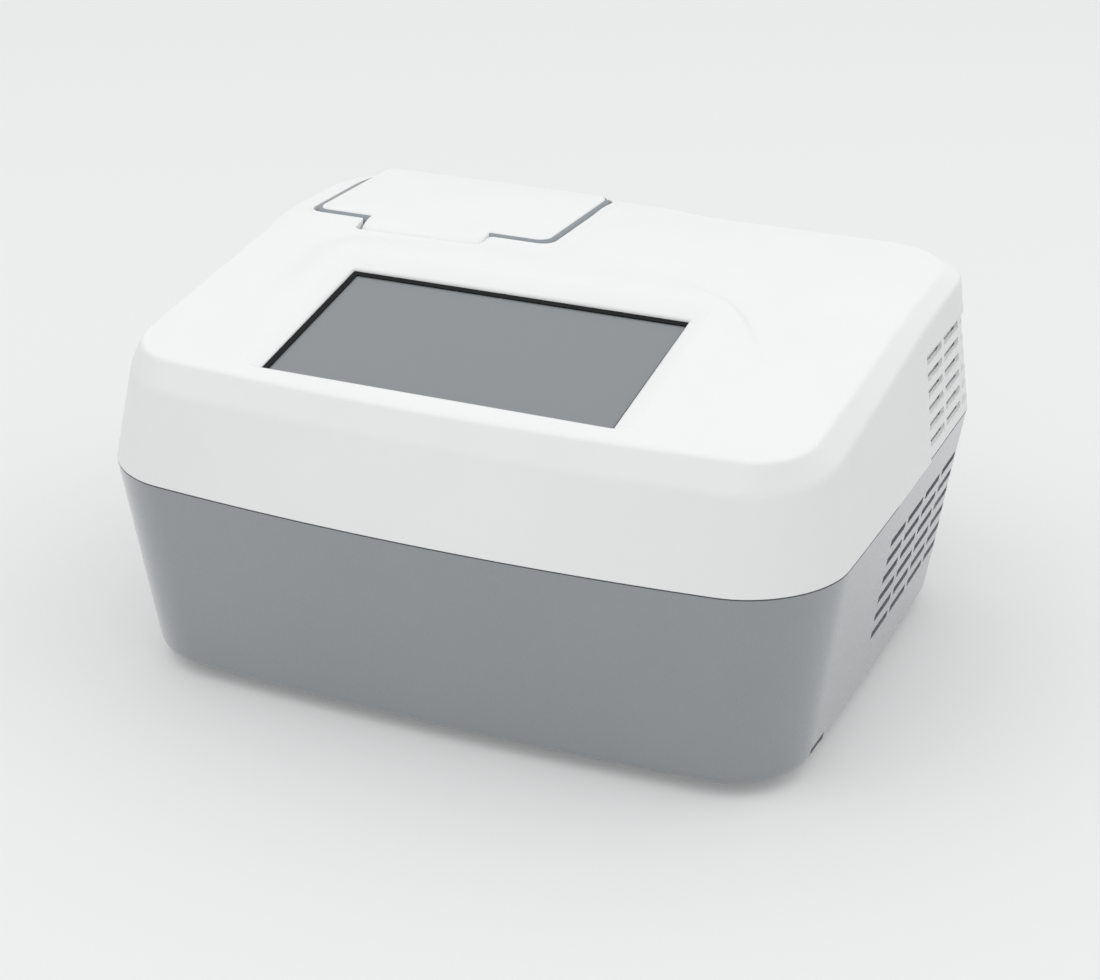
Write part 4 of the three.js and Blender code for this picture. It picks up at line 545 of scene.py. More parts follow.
def rounded_rings(profile, cuts, steps):
    """Rings with the profile's inner corners rounded, and one more beside each to keep its faces flat."""
    rings = [profile[0]]
    for i in range(1, len(profile) - 1):
        before, here, after = profile[i - 1], profile[i], profile[i + 1]
        back, ahead = before - here, after - here
        back_len = np.linalg.norm(back, axis=1, keepdims=True)
        ahead_len = np.linalg.norm(ahead, axis=1, keepdims=True)
        start = here + back / back_len * np.minimum(cuts[i - 1], back_len * 0.45)
        stop = here + ahead / ahead_len * np.minimum(cuts[i - 1], ahead_len * 0.45)
        rings.append(start + back / back_len * np.minimum(0.6, back_len * 0.2))
        for k in range(steps + 1):
            t = k / steps
            rings.append(start * (1 - t) ** 2 + here * 2 * t * (1 - t) + stop * t * t)
        rings.append(stop + ahead / ahead_len * np.minimum(0.6, ahead_len * 0.2))
    rings.append(profile[-1])
    return rings


def skirt_ring(z, inset, counts):
    """One level of the lower housing: it grows from the floor to the seam."""
    share = (z - FOOT_Z) / (SEAM - FOOT_Z)
    side = HALF_WIDTH - FOOT_TAPER * (1 - share) - inset
    end = FOOT_END_TAPER * (1 - share) + inset
    radius = FOOT_RADIUS + (FRONT_RADIUS - FOOT_RADIUS) * share - inset
    bow = FOOT_BOW + (FRONT_BOW - FOOT_BOW) * share
    plan = outline(side, FRONT + end, REAR - end, radius, REAR_RADIUS - inset, bow, WALL_BULGE, **counts)
    return with_z(plan, z)


def skirt(name, inset, base, rim, fine=True, edge=6.0):
    """Outer form of the lower housing moved in by an inset."""
    counts = {} if fine else COARSE
    edge = max(edge - inset, 1.0)
    steps = 8 if fine else 3
    rings = []
    for k in range(steps + 1):
        angle = k / steps * math.pi / 2
        rings.append(skirt_ring(base + edge * (1 - math.cos(angle)), inset + edge * (1 - math.sin(angle)), counts))
    for share in (0.25, 0.5, 0.75, 1):
        rings.append(skirt_ring(base + edge + (rim - base - edge) * share, inset, counts))
    return loft(name, rings)


def display_matrix():
    """Frame on the window's front edge, Z square to the screen, in metres."""
    place = Matrix.Translation(Vector((WINDOW_X, WINDOW_FRONT, DISPLAY_Z)) * MM)
    return place @ Matrix.Rotation(DISPLAY_TILT, 4, "X")


def in_display(obj):
    """Moves an object from the display's frame to the part's."""
    obj.data.transform(display_matrix())
    return obj


def window_ring(side, rear, front_r, rear_r, z):
    """The window's outline grown at its sides and rear; its front edge stays."""
    half = WINDOW_WIDTH / 2 + side
    points = [(-half, 0), (half, 0), (half, WINDOW_DEPTH + rear), (-half, WINDOW_DEPTH + rear)]
    return with_z(round_corners(points, (front_r, front_r, rear_r, rear_r), 10), z)


def window_tool():
    """Cuts the window: a straight throat, a rounded shoulder and a slope that meets the top all round."""
    fall, throat = size("window_drop"), 0.8
    rings = [window_ring(0, 0, throat, throat, -14.4)]
    shoulder = (0.0, -0.2), (0.02, 0.08), (0.06, 0.22), (0.13, 0.33), (0.22, 0.42), (1.0, 1.0), (1.6, 1.462)
    for share, level in shoulder:
        ring = window_ring(SLOPE_SIDE * share, SLOPE_REAR * share, throat + 8.7 * share, throat + 3.7 * share, 0)
        ring[:, 2] = -fall + (fall + SURROUND * ring[:, 1] / WINDOW_DEPTH) * level
        rings.append(ring)
    return in_display(loft("window_tool", rings))


def opening_plan():
    """The lid's opening and the grip's notch as one outline."""
    half, left, right = 31.0, LID_X - 60.5, LID_X + 60.5
    front, rear, notch = LID_FRONT - 4.3, LID_REAR + 1.8, 20.9
    return round_corners([
        (left, front), (LID_X - half - 0.4, front), (LID_X - half, notch), (LID_X + half, notch),
        (LID_X + half + 0.4, front), (right, front), (right, rear), (left, rear),
    ], (7.6, 2.6, 3.4, 6.5, 2.6, 7.6, 7.6, 7.6), 10)


def offset(points, reach):
    """A closed outline moved outwards along its normals."""
    after, before = np.roll(points, -1, axis=0), np.roll(points, 1, axis=0)
    ahead = (after - points) / np.maximum(np.linalg.norm(after - points, axis=1, keepdims=True), 1e-9)
    back = (points - before) / np.maximum(np.linalg.norm(points - before, axis=1, keepdims=True), 1e-9)
    along = ahead + back
    along /= np.linalg.norm(along, axis=1, keepdims=True)
    return points + reach * np.column_stack([along[:, 1], -along[:, 0]])


def lip_bead():
    """Soft bead round the opening: full height at its edge, running out into the top."""
    width, height = size("lip_width"), size("lip_height")
    points = dense(opening_plan())
    # Lower round the notch than round the lid
    height = height * (0.3 + 0.7 * smooth((points[:, 1] - 22) / 9))
    shares = -0.25, 0.0, 0.12, 0.25, 0.4, 0.55, 0.7, 0.85
    levels = [(share, height * (1 - smooth(max(share, 0)))) for share in shares]
    rings = []
    for share, lift in levels + [(1.0, -0.05), (1.0, -1.5), (-0.25, -1.5)]:
        plan = offset(points, share * width)
        rings.append(with_z(plan, raised_height(plan[:, 0], plan[:, 1]) + lift))
    return tube("lip_bead", rings[::-1])


def dense(points, spacing=1.6):
    """A closed outline with its long runs divided."""
    result = []
    for here, after in zip(points, np.roll(points, -1, axis=0)):
        steps = max(1, int(np.linalg.norm(after - here) / spacing))
        result += [here + (after - here) * k / steps for k in range(steps)]
    return np.array(result)


def vents(name, columns, rows, first, top, pitch, height):
    """Slot tools for both side walls, with softened corners."""
    tools = []
    for side in (-1, 1):
        low, high = (135.0, 166.0) if side > 0 else (-166.0, -135.0)
        for column in range(columns):
            for row in range(rows):
                middle = first + column * SLOT_STEP + SLOT_LENGTH / 2
                plan = round_rect(middle, top - row * pitch, SLOT_LENGTH, height, size("slot_corner"), 4)
                tools.append(prism("slot", plan, low, high, "x"))
    return merged(name, tools)


def recess_tool(front, low, high, skin):
    """What lies outside the vents' recess: a slab less the skin it leaves."""
    tool = cut(slab("recess", (-200, front, low), (200, 200, high)), skin)
    return cut(tool, slab("middle", (-118.6, -200, 0), (118.6, 200, 200)))


def along_pin(name, radius, spare=0.0, chamfer=0.0):
    """A bar on the hinge's axis, longer than the pin by a spare at each end."""
    start = LID_X - PIN_HALF - spare, HINGE_Y, HINGE_Z
    return rod(name, "x", radius, start, 2 * (PIN_HALF + spare), chamfer=chamfer)


def hinge_ears(body):
    """Adds the two ears that hold the hinge pin."""
    for side in (-1, 1):
        x = LID_X + side * (PIN_HALF - 2)
        foot = slab("ear_foot", (x - 2, HINGE_Y - 3, 157.4), (x + 2, HINGE_Y + 3, HINGE_Z))
        join(body, join(rod("ear", "x", 3, (x - 2, HINGE_Y, HINGE_Z), 4), foot))
    return cut(body, along_pin("pin_bore", 1.56, 0.3))


def upper_shell():
    """White upper housing: crowned shell, hinge seat, window, lid opening, recesses and air slots."""
    base = SEAM + size("seam_gap") / 2
    body = crown("upper_shell", 0, base, raised_height)
    join(body, lip_bead())
    hollow = crown("hollow", WALL, base - 1, top_height, fine=False)
    cut(hollow, slab("pad", (-138, HINGE_Y - 6, 155.95), (-10, HINGE_Y + 9, 161.55)))
    cut(body, hollow)
    cut(body, slab("pocket", (LID_X - PIN_HALF, 102, 161.55), (LID_X + PIN_HALF, 140, 180)))
    cut(body, along_pin("groove", 5.6, 0.7))
    cut(body, window_tool(), in_display(slab("room", (-83.75, -3.65, -12), (83.75, 91.65, -2.4))))
    hinge_ears(body)
    cut(body, prism("opening", opening_plan(), SEAM, 180))
    join(body, notch_liner())
    cut(body, recess_tool(35, 91, 143.3, crown("skin", 1.1, base - 0.05, top_height)))
    cut(body, vents("upper_slots", 3, 6, 38, 139.5, 7.35, 3.6))
    return join(body, slot_baffle(base))


def notch_liner():
    """White basin under the grip, one with the upper housing."""
    front = (LID_X - 60, 0, 100), (LID_X + 60, LID_FRONT - 3.9, 166)
    body = boolean(prism("liner", offset(opening_plan(), 0.95), 150.1, 166), slab("liner_front", *front), "INTERSECT")
    return cut(body, prism("liner_room", opening_plan(), 151.1, 170))


def slot_baffle(base):
    """Splash baffle behind the upper slots, which makes them look pale inside."""
    body = slab("baffle", (-170, 33, 97), (170, 118.6, 145))
    boolean(body, crown("baffle_wall", BAFFLE_FRONT, base, top_height, fine=False), "INTERSECT")
    cut(body, crown("baffle_back", BAFFLE_BACK, base, top_height, fine=False))
    passage = slab("passage", (-200, 34.2, 96.5), (200, 117.4, 143.8))
    return cut(body, cut(passage, crown("baffle_face", BAFFLE_FACE, base, top_height, fine=False)))


def lower_shell():
    """Grey lower housing: tapered skirt, rear collar, screw bosses, air slots and a tongue into the upper one."""
    rim = SEAM - size("seam_gap") / 2
    body = skirt("lower_shell", 0, FOOT_Z, rim)
    cut(body, skirt("lower_room", WALL, 8, rim + 4, fine=False))
    collar = slab("collar", (-25, 116.25, 24), (125, 130, 70))
    boolean(collar, skirt("collar_skin", 1.4, 6, rim - 1, fine=False), "INTERSECT")
    join(body, collar)
    cut(body, prism("collar_hole", round_rect(50, 47, 142.9, 38.9, 3), 112, 134, "y"))
    for x, y in ((-132, -86), (132, -86), (-136, 19), (132, 92)):
        join(body, rod("boss", "z", 5, (x, y, 5), 83, 32))
        cut(body, rod("boss_bore", "z", 3.45, (x, y, 1), 77, 32), rod("screw_bore", "z", 1.56, (x, y, 70), 22, 24))
    # The recess runs out towards its foot
    skin = loft("skin", [skirt_ring(z, inset, {}) for z, inset in ((20, -0.4), (27, 0), (60, 0.9), (103, 1.1))])
    cut(body, recess_tool(-13.5, 25.8, 100, skin))
    cut(body, vents("lower_slots", 5, 6, -10.5, 75.8, 8.6, 3.5))
    tongue = skirt("tongue", 2.75, 87, SEAM + 1.1, fine=False, edge=0)
    cut(tongue, skirt("tongue_room", 4.2, 80, SEAM + 4, fine=False, edge=0))
    join(body, tongue)
    return cut(body, slab("card_slot", (133, -78, 7.5), (162, -62, 13)))


# Lid

def lid_ring(side, front, rear, radius, z, steps=10):
    """A round-cornered outline about the lid's cover, grown at its sides, front and rear."""
    depth = LID_DEPTH + front + rear
    middle = LID_FRONT - front + depth / 2
    return with_z(round_rect(LID_X, middle, LID_WIDTH + 2 * side, depth, radius, steps), z)


def lid_cover():
    """Thin cover with a softened edge, and the pillow-shaped grip in one piece with it."""
    edge = size("cover_edge")
    rings = [lid_ring(COVER, COVER, 0, 5.5, LID_TOP - 2.5)]
    for k in range(6):
        angle = k / 5 * math.pi / 2
        grow = COVER - edge * (1 - math.cos(angle))
        rings.append(lid_ring(grow, grow, grow - COVER, 4.4 + grow, LID_TOP - edge * (1 - math.sin(angle))))
    cover = loft("lid_panel", rings)
    return join(cover, grip())


def grip():
    """Hollow hook that rolls down over the notch: widely at its front, more tightly at its ends."""
    ends, roll, fall = size("grip_round"), 9.5, 6.8

    def pillow(name, skin, low, top):
        """The grip's form, moved in by a skin."""
        rings = [pillow_ring(skin + 0.7, skin + 0.7, low), pillow_ring(skin, skin, low + 1.6)]
        for k in range(13):
            angle = k / 12 * math.pi / 2
            sweep, drop_share = 1 - math.cos(angle), 1 - math.sin(angle)
            z = top - (fall - skin) * drop_share
            rings.append(pillow_ring(skin + (roll - skin) * sweep, skin + (ends - skin) * sweep, z))
        return loft(name, rings)

    body = pillow("grip", 0, LID_TOP - 8.4, LID_TOP)
    cut(body, pillow("grip_room", 2.2, LID_TOP - 12, LID_TOP - 2.4))
    return cut(body, slab("grip_back", (LID_X - 50, LID_FRONT - 3.9, 150), (LID_X + 50, 80, LID_TOP - 2.5)))


def pillow_ring(back, inset, z):
    """One level of the grip, moved back at its front and in at its ends."""
    width, front, rear = 60.6, 21.6, 50.0
    plan = round_corners([
        (LID_X - width / 2 + inset, front + back), (LID_X + width / 2 - inset, front + back),
        (LID_X + width / 2 + 1.0 - inset, rear), (LID_X - width / 2 - 1.0 + inset, rear),
    ], (max(7.2 - inset * 0.4, 0.8),) * 2 + (2.0,) * 2, 10)
    return with_z(plan, z)


def lid_rim():
    """Tray of the lid: a rounded rim beside the cover, walls, web, magnet seats and hinge lugs."""
    rings = [lid_ring(3.6, 3.6, 0.6, 7.4, 157.0), lid_ring(3.6, 3.6, 0.6, 7.4, 165.6)]
    rolled = (3.55, 166.6), (3.35, 167.5), (2.95, 168.3), (2.35, 169.0), (1.6, 169.5), (0.8, 169.75), (0.0, 169.8)
    for side, z in rolled:
        rings.append(lid_ring(side, side, min(side, 0.6), 4.6 + side * 0.78, z))
    body = loft("lid_rim", rings)
    cut(body, loft("cover_seat", [lid_ring(COVER + 0.06, COVER + 0.06, 0.7, 5.5, z) for z in (LID_TOP - 2.62, 180)]))
    cut(body, loft("web_room", [lid_ring(-2.4, -2.4, -5.4, 3, 163.4), lid_ring(-2.4, -2.4, -5.4, 3, 168.2)]))
    cut(body, loft("under_room", [lid_ring(1.3, 1.3, -1.8, 5, 156), lid_ring(1.1, 1.1, -2.0, 5, 161.4)]))
    for side in (-1, 1):
        x = LID_X + side * 30.9
        eye = rod("eye", "x", 3, (x - 3.7, HINGE_Y, HINGE_Z), 7.4)
        join(body, join(eye, slab("arm", (x - 3.7, LID_REAR - 1.2, 161.8), (x + 3.7, HINGE_Y, 166.3))))
        x = LID_X + side * MAGNET_X
        join(body, prism("seat", round_rect(x, MAGNET_Y, 10.8, 8.4, 2), 157, 162.4))
        cut(body, rod("magnet_bore", "z", 3.06, (x, MAGNET_Y, 155), 4.2))
        cut(body, rod("post_bore", "z", 2.06, (LID_X + side * POST_X, BLOCK_Y, 158), 8))
    return cut(body, along_pin("pin_bore", 1.6))


def lid_seal():
    """Soft ring with a rounded foot."""
    rings = []
    for step, z in ((0.55, 155.675), (0.2, 155.8), (0.0, 156.1), (0.0, 156.85)):
        rings.append(lid_ring(3.2 - step, 3.2 - step, 0.2 - step, 7.0 - step, z))
    for step, z in ((0.0, 156.85), (0.0, 156.1), (0.2, 155.8), (0.55, 155.675)):
        rings.append(lid_ring(1.7 + step, 1.7 + step, -1.3 + step, 5.5 + step, z))
    return tube("lid_seal_ring", rings)


def cover_box(name, middle_x, middle_y, low, high, width, depth, radius, edge, steps=6):
    """A plate with round corners and chamfered edges, top and bottom."""
    rings = []
    for inset, z in ((edge, low), (0, low + edge), (0, high - edge), (edge, high)):
        corner = max(radius - inset, 0.1)
        rings.append(with_z(round_rect(middle_x, middle_y, width - 2 * inset, depth - 2 * inset, corner, steps), z))
    return loft(name, rings)


def heated_plate():
    """Plate that presses on the tubes, with shouldered bores for its two posts."""
    body = cover_box("heated_plate_fine", LID_X, BLOCK_Y, 151.1, 155.5, 84, 30, 2.5, 0.4)
    for side in (-1, 1):
        x = LID_X + side * POST_X
        cut(body, rod("bore", "z", 2.06, (x, BLOCK_Y, 150), 7), rod("shoulder", "z", 3.65, (x, BLOCK_Y, 150), 3.15))
    return body


def guide_post(side):
    """Shoulder screw with a slotted head."""
    x, low = LID_X + side * POST_X, 151.15
    body = lathe("post", "z", (x, BLOCK_Y), [
        (3.1, low), (3.4, low + 0.3), (3.4, low + 1.55), (3.2, low + 1.8), (2, low + 1.8), (2, 163.3), (1.9, 163.4),
    ])
    return cut(body, slab("slot", (x - 5, BLOCK_Y - 0.4, 150), (x + 5, BLOCK_Y + 0.4, low + 0.8)))


def plate_spring(side):
    """Spring wire wound round a post, with level ends."""
    steps, corners, level = 48 * SPRING_TURNS, 12, 0.12
    rings = []
    for step in range(steps + 1):
        turn = 2 * math.pi * SPRING_TURNS * step / steps
        share = min(max((step / steps - level) / (1 - 2 * level), 0), 1)
        z = SPRING_LOW + WIRE + (SPRING_TOP - SPRING_LOW - 2 * WIRE) * share
        ring = []
        for corner in range(corners):
            angle = 2 * math.pi * corner / corners
            reach = SPRING_RADIUS + WIRE * math.cos(angle)
            x, y = LID_X + side * POST_X + reach * math.cos(turn), BLOCK_Y + reach * math.sin(turn)
            ring.append((x, y, z + WIRE * math.sin(angle)))
        rings.append(ring)
    return loft("plate_spring", rings)


def compress(spring):
    """Gives a spring a mesh of its own."""
    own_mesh(spring)


def lid_magnet(side):
    """Disc magnet that holds the lid shut."""
    return rod("magnet", "z", 3, (LID_X + side * MAGNET_X, MAGNET_Y, 157.06), 1.95, 40, chamfer=0.2)


# Sample chamber

def chamber_tub():
    """Tub under the lid: a ledge for the seal, a chamber that narrows to the block, and the notch's floor."""
    body = prism("chamber_tub", offset(opening_plan(), 3.0), 149.0, 172)
    join(body, prism("tub_foot", round_rect(LID_X, 70, 126, 81, 9), 138.0, 156))
    boolean(body, crown("under", 3.05, SEAM, top_height, fine=False), "INTERSECT")
    cut(body, slab("pad_room", (-140.7, HINGE_Y - 6.25, 155.7), (-7.5, 131, 172)))
    cut(body, prism("mouth", offset(opening_plan(), 1.0), 155.4, 176))
    taper = []
    for z, side, front, radius in ((141.0, 43, 17, 3), (142.0, 43.6, 17.6, 3.4), (156.4, 54.2, 33.2, 8)):
        taper.append(with_z(round_rect(LID_X, BLOCK_Y, 2 * side, 2 * front, radius, 10), z))
    cut(body, loft("chamber", taper))
    cut(body, slab("throat", (LID_X - 40.25, BLOCK_Y - 14.25, 137), (LID_X + 40.25, BLOCK_Y + 14.25, 143)))
    notch = prism("notch_room", offset(opening_plan(), 1.0), 150.0, 157)
    boolean(notch, slab("notch_front", (LID_X - 60, 0, 100), (LID_X + 60, LID_FRONT - 3.6, 200)), "INTERSECT")
    return cut(body, notch)


def sample_block():
    """Block with its tapered wells, each with a chamfered mouth."""
    body = cover_box("sample_block_fine", LID_X, BLOCK_Y, 122.5, BLOCK_TOP, 80, 28, 1.2, 0.5)
    mouth = size("well_mouth") / 2
    for row in range(2):
        wells = []
        for column in range(8):
            centre = (LID_X + (column - 3.5) * WELL_PITCH, BLOCK_Y + (row - 0.5) * WELL_PITCH)
            bottom = BLOCK_TOP - WELL_DEPTH
            wells.append(lathe("well", "z", centre, [
                (0.7, bottom), (1.3, bottom + 0.4), (mouth, BLOCK_TOP - 0.35), (mouth + 0.35, BLOCK_TOP),
                (mouth + 1.0, BLOCK_TOP + 0.65),
            ], 40))
        cut(body, merged("wells", wells))
    return body


# Rear, feet and screws

def rear_plan(x, width, height, radius, steps=6):
    """A round-cornered outline on the rear panel."""
    return round_rect(x, PANEL_Z, width, height, radius, steps)


def power_inlet():
    """Three-pole appliance inlet with a flange and two chamfered corners in its well."""
    low, high = box_of("power_inlet")
    x, face = (low[0] + high[0]) / 2, FLANGE_BACK
    lip = face + FLANGE
    body = loft("power_inlet_fine", [with_z(rear_plan(x, w, h, r), y) for w, h, r, y in (
        (30.4, 23.4, 2.2, lip), (31, 24, 2.5, lip - 0.3), (31, 24, 2.5, face),
    )][::-1], "y")
    join(body, prism("inlet_case", rear_plan(x, 27, 20, 1.5), PANEL_FACE - 24, face + 0.5, "y"))
    well = [(x - 11.7, PANEL_Z - 8.2), (x + 11.7, PANEL_Z - 8.2), (x + 11.7, PANEL_Z + 3.6), (x + 7.1, PANEL_Z + 8.2),
            (x - 7.1, PANEL_Z + 8.2), (x - 11.7, PANEL_Z + 3.6)]
    cut(body, prism("inlet_well", round_corners(well, 1.0, 4), lip - 16, lip + 2, "y"))
    seat = lip - 20
    for side, lift in ((-1, -2), (0, 2), (1, -2)):
        pin_x, pin_z = x + side * 7, PANEL_Z + lift
        cut(body, slab("pin_seat", (pin_x - 1.06, seat, pin_z - 2.06), (pin_x + 1.06, lip - 15, pin_z + 2.06)))
    return body


def inlet_pin(index):
    """Flat blade with a tapered tip."""
    low, high = box_of(f"inlet_pin_{index}")
    x, z = (low[0] + high[0]) / 2, (low[2] + high[2]) / 2
    rings = [with_z(round_rect(x, z, 2 - 2 * t, 4 - 2 * t, 0.3, 4), y) for t, y in (
        (0.0, low[1]), (0.0, high[1] - 1.6), (0.35, high[1] - 0.4), (0.55, high[1]),
    )]
    return loft("blade", rings, "y")


def switch_body():
    """Switch case with a round-cornered flange round the rocker."""
    x, face, lip = 75.998, FLANGE_BACK, FLANGE_BACK + FLANGE
    body = loft("switch_case", [with_z(rear_plan(x, w, h, r), y) for w, h, r, y in (
        (15.4, 21.4, 1.4, face), (15.4, 21.4, 1.4, lip - 0.4), (14.6, 20.6, 1.0, lip),
    )], "y")
    join(body, prism("case", rear_plan(x, 13, 19, 0.8), PANEL_FACE - 16, face + 0.5, "y"))
    cut(body, prism("rocker_room", rear_plan(x, 9.8, 15.6, 0.4), lip - 9, lip + 2, "y"))
    for side in (-1, 1):
        start = x + side * 4.6 - (1.6 if side < 0 else 0)
        cut(body, rod("pivot_bore", "x", 1.08, (start, lip - 5, PANEL_Z), 1.6, 24))
    return body


def switch_rocker():
    """Rocker with a softened dished face, on its pivot."""
    low, high = box_of("switch_rocker")
    x, pivot = (low[0] + high[0]) / 2, FLANGE_BACK + FLANGE - 5
    shares = [(-0.25, -0.27), (0.22, -1), (0.98, -0.85), (0.7, 0), (0.66, 0.96), (0.08, 1), (-0.25, 0.27)]
    points = [(pivot + 7.3 * a, PANEL_Z + 7.3 * b) for a, b in shares]
    plan = round_corners(points, (0.8, 0.8, 0.7, 9, 0.7, 0.8, 0.8), 8)
    rings = [with_z(offset(plan, -inset), place) for inset, place in (
        (0.3, x - 4.7), (0.0, x - 4.4), (0.0, x + 4.4), (0.3, x + 4.7),
    )]
    body = loft("rocker_fine", rings, "x")
    return join(body, rod("pivot", "x", 1.0, (low[0], pivot, PANEL_Z), high[0] - low[0], 32))


def usb_socket():
    """Stamped socket shell with its tongue."""
    x, mouth = 43.98, SOCKET_MOUTH
    body = prism("usb_shell", rear_plan(x, 13.2, 5.8, 0.6, 5), PANEL_FACE - 13, mouth, "y")
    cut(body, prism("usb_room", rear_plan(x, 12, 4.6, 0.3, 5), PANEL_FACE - 10, mouth + 1, "y"))
    tongue = (x - 5.5, PANEL_FACE - 11, PANEL_Z - 0.8), (x + 5.5, PANEL_FACE - 1, PANEL_Z + 0.8)
    return join(body, slab("tongue", *tongue))


def network_socket():
    """Shielded socket with a stepped latch slot and eight contact wires."""
    x, mouth = 20.01, SOCKET_MOUTH
    body = prism("jack_shell", rear_plan(x, 16, 13.5, 0.6, 5), PANEL_FACE - 18, mouth, "y")
    cut(body, prism("jack_room", rear_plan(x, 11.8, 8, 0.2, 3), PANEL_FACE - 12, mouth + 1, "y"))
    cut(body, slab("latch", (x - 3.1, PANEL_FACE - 7, PANEL_Z - 5.2), (x + 3.1, mouth + 1, PANEL_Z - 3)))
    for wire in range(8):
        middle = x + (wire - 3.5) * 1.02
        low, high = (middle - 0.2, PANEL_FACE - 12.4, PANEL_Z + 1.6), (middle + 0.2, PANEL_FACE - 3, PANEL_Z + 2.1)
        join(body, slab("wire", low, high))
    return body


def foot(index):
    """Rubber foot with a shallow dish in its sole."""
    low, high = box_of(f"foot_{index}")
    centre = ((low[0] + high[0]) / 2, (low[1] + high[1]) / 2)
    body = lathe("foot", "z", centre, [(7.2, 0), (7.8, 0.25), (8.1, 0.8), (8.9, 4.3), (8.8, high[2])], 64)
    return cut(body, lathe("dish", "z", centre, [(4.6, -1), (4.6, 0.3), (4.2, 0.7)], 48))


def cross_screw(name, x, y, low, head_r, head_h, shank_r, top):
    """Pan-head screw from below, with a cross recess."""
    body = lathe(name, "z", (x, y), [
        (head_r - 0.7, low), (head_r - 0.15, low + 0.3), (head_r, low + 0.9), (head_r, low + head_h),
        (shank_r, low + head_h), (shank_r, top - 0.5), (shank_r - 0.5, top),
    ], 40)
    for wide, deep in ((0.45, head_r * 0.6), (head_r * 0.6, 0.45)):
        cut(body, slab("cross", (x - deep, y - wide, low - 1), (x + deep, y + wide, low + head_h * 0.5)))
    return body


def housing_screw(index):
    """One of the four screws that join the housings."""
    low, high = box_of(f"housing_screw_{index}")
    return cross_screw("screw", (low[0] + high[0]) / 2, (low[1] + high[1]) / 2, low[2], 3.2, 2.6, 1.5, high[2])


# Inside

def fan_rotor():
    """Seven swept blades on a cupped hub."""
    low, high = box_of("fan_rotor")
    x, y, blades, sections = LID_X, BLOCK_Y, 7, 9
    rotor_low, rotor_high = low[2] + 2.0, high[2]
    body = lathe("fan_rotor_fine", "z", (x, y), [
        (1.5, low[2]), (1.5, rotor_low), (15.4, rotor_low), (16, rotor_low + 0.6),
        (15.4, rotor_high - 1.2), (14.2, rotor_high),
    ], 56)
    # A blade's section: shares of its chord, with half its thickness in millimetres above or below
    section = (-0.5, 0.15), (-0.2, 0.75), (0.2, 0.75), (0.5, 0.15), (0.2, -0.75), (-0.2, -0.75)
    for blade in range(blades):
        turn = blade * 2 * math.pi / blades
        rings = []
        for share in np.linspace(0, 1, sections):
            radius = 14.5 + share * 21.6
            sweep = turn + 0.22 * share ** 1.5
            pitch = 0.78 - 0.2 * share
            chord = 15.5 + 3.0 * share
            ring = []
            for along, thick in section:
                across = along * chord * math.cos(pitch) + thick * math.sin(pitch) * 0.9
                up = along * chord * math.sin(pitch) - thick * math.cos(pitch) * 0.9 + 1.6 * (0.25 - along * along)
                angle = sweep + across / radius
                z = (rotor_low + rotor_high) / 2 + up
                ring.append((x + radius * math.cos(angle), y + radius * math.sin(angle), z))
            rings.append(np.array(ring))
        join(body, loft("blade", rings))
    return body


def lead_screw():
    """Four-start thread with a rounded profile between two plain journals."""
    low, high = box_of("lead_screw")
    y, z = (low[1] + high[1]) / 2, (low[2] + high[2]) / 2
    start, stop = LID_X - 51.6, LID_X + 51.6
    sides, starts, pitch, core, crest = 24, 4, 8.0, 2.6, 0.9
    angles = np.arange(sides) / sides * 2 * math.pi
    circle = np.column_stack([np.cos(angles), np.sin(angles)])
    rings = []
    for radius, place in ((2.3, low[0]), (2.5, low[0] + 0.3), (2.5, start)):
        rings.append(with_z(circle * radius + (y, z), place))
    for place in np.arange(start, stop, 0.5):
        ease = min(1.0, (place - start) / 1.5, (stop - place) / 1.5)
        wave = 0.5 + 0.5 * np.cos(starts * angles - 2 * math.pi * place / pitch)
        radius = core + ease * crest * np.clip(wave * 1.5, 0, 1)
        rings.append(with_z(circle * radius[:, None] + (y, z), place))
    for radius, place in ((2.5, stop + 0.2), (2.5, high[0] - 0.3), (2.3, high[0])):
        rings.append(with_z(circle * radius + (y, z), place))
    return loft("lead_screw_fine", rings, "x")


# Finishes

def add(tree, kind, settings=None, **links):
    """Adds a node, sets its values and links its sockets; link names use _ for spaces, iN for socket N."""
    node = tree.nodes.new(kind)
    for key, value in (settings or {}).items():
        if key == "stops":
            while len(node.color_ramp.elements) < len(value):
                node.color_ramp.elements.new(0.5)
            for element, (position, tone) in zip(node.color_ramp.elements, value):
                element.position, element.color = position, tone
        elif isinstance(key, str) and hasattr(node, key):
            setattr(node, key, value)
        else:
            node.inputs[key].default_value = value
    link(tree, node, **links)
    return node


def link(tree, node, **links):
    """Links sources to a node's sockets, named as in add."""
    for key, source in links.items():
        socket = int(key[1:]) if key[0] == "i" and key[1:].isdigit() else key.replace("_", " ")
        tree.links.new(source, node.inputs[socket])


def new_material(name):
    """A material with its node tree and its shader."""
    material = bpy.data.materials.new(name)
    material.use_nodes = True
    tree = material.node_tree
    tree.nodes.clear()
    shader = add(tree, "ShaderNodeBsdfPrincipled")
    add(tree, "ShaderNodeOutputMaterial", Surface=shader.outputs[0])
    return material, tree, shader


def per_metre(pitch):
    """A texture's scale from the pattern's pitch in millimetres."""
    return 1 / (pitch * MM)


def tinted(colour, share):
    """A colour made darker or lighter."""
    return [min(c * share, 1) for c in colour[:3]] + [1]


def two_tone(colour, low, high, start=0.3, stop=0.7):
    """Settings of a colour ramp between two shades of a colour."""
    return {"stops": [(start, tinted(colour, low)), (stop, tinted(colour, high))]}


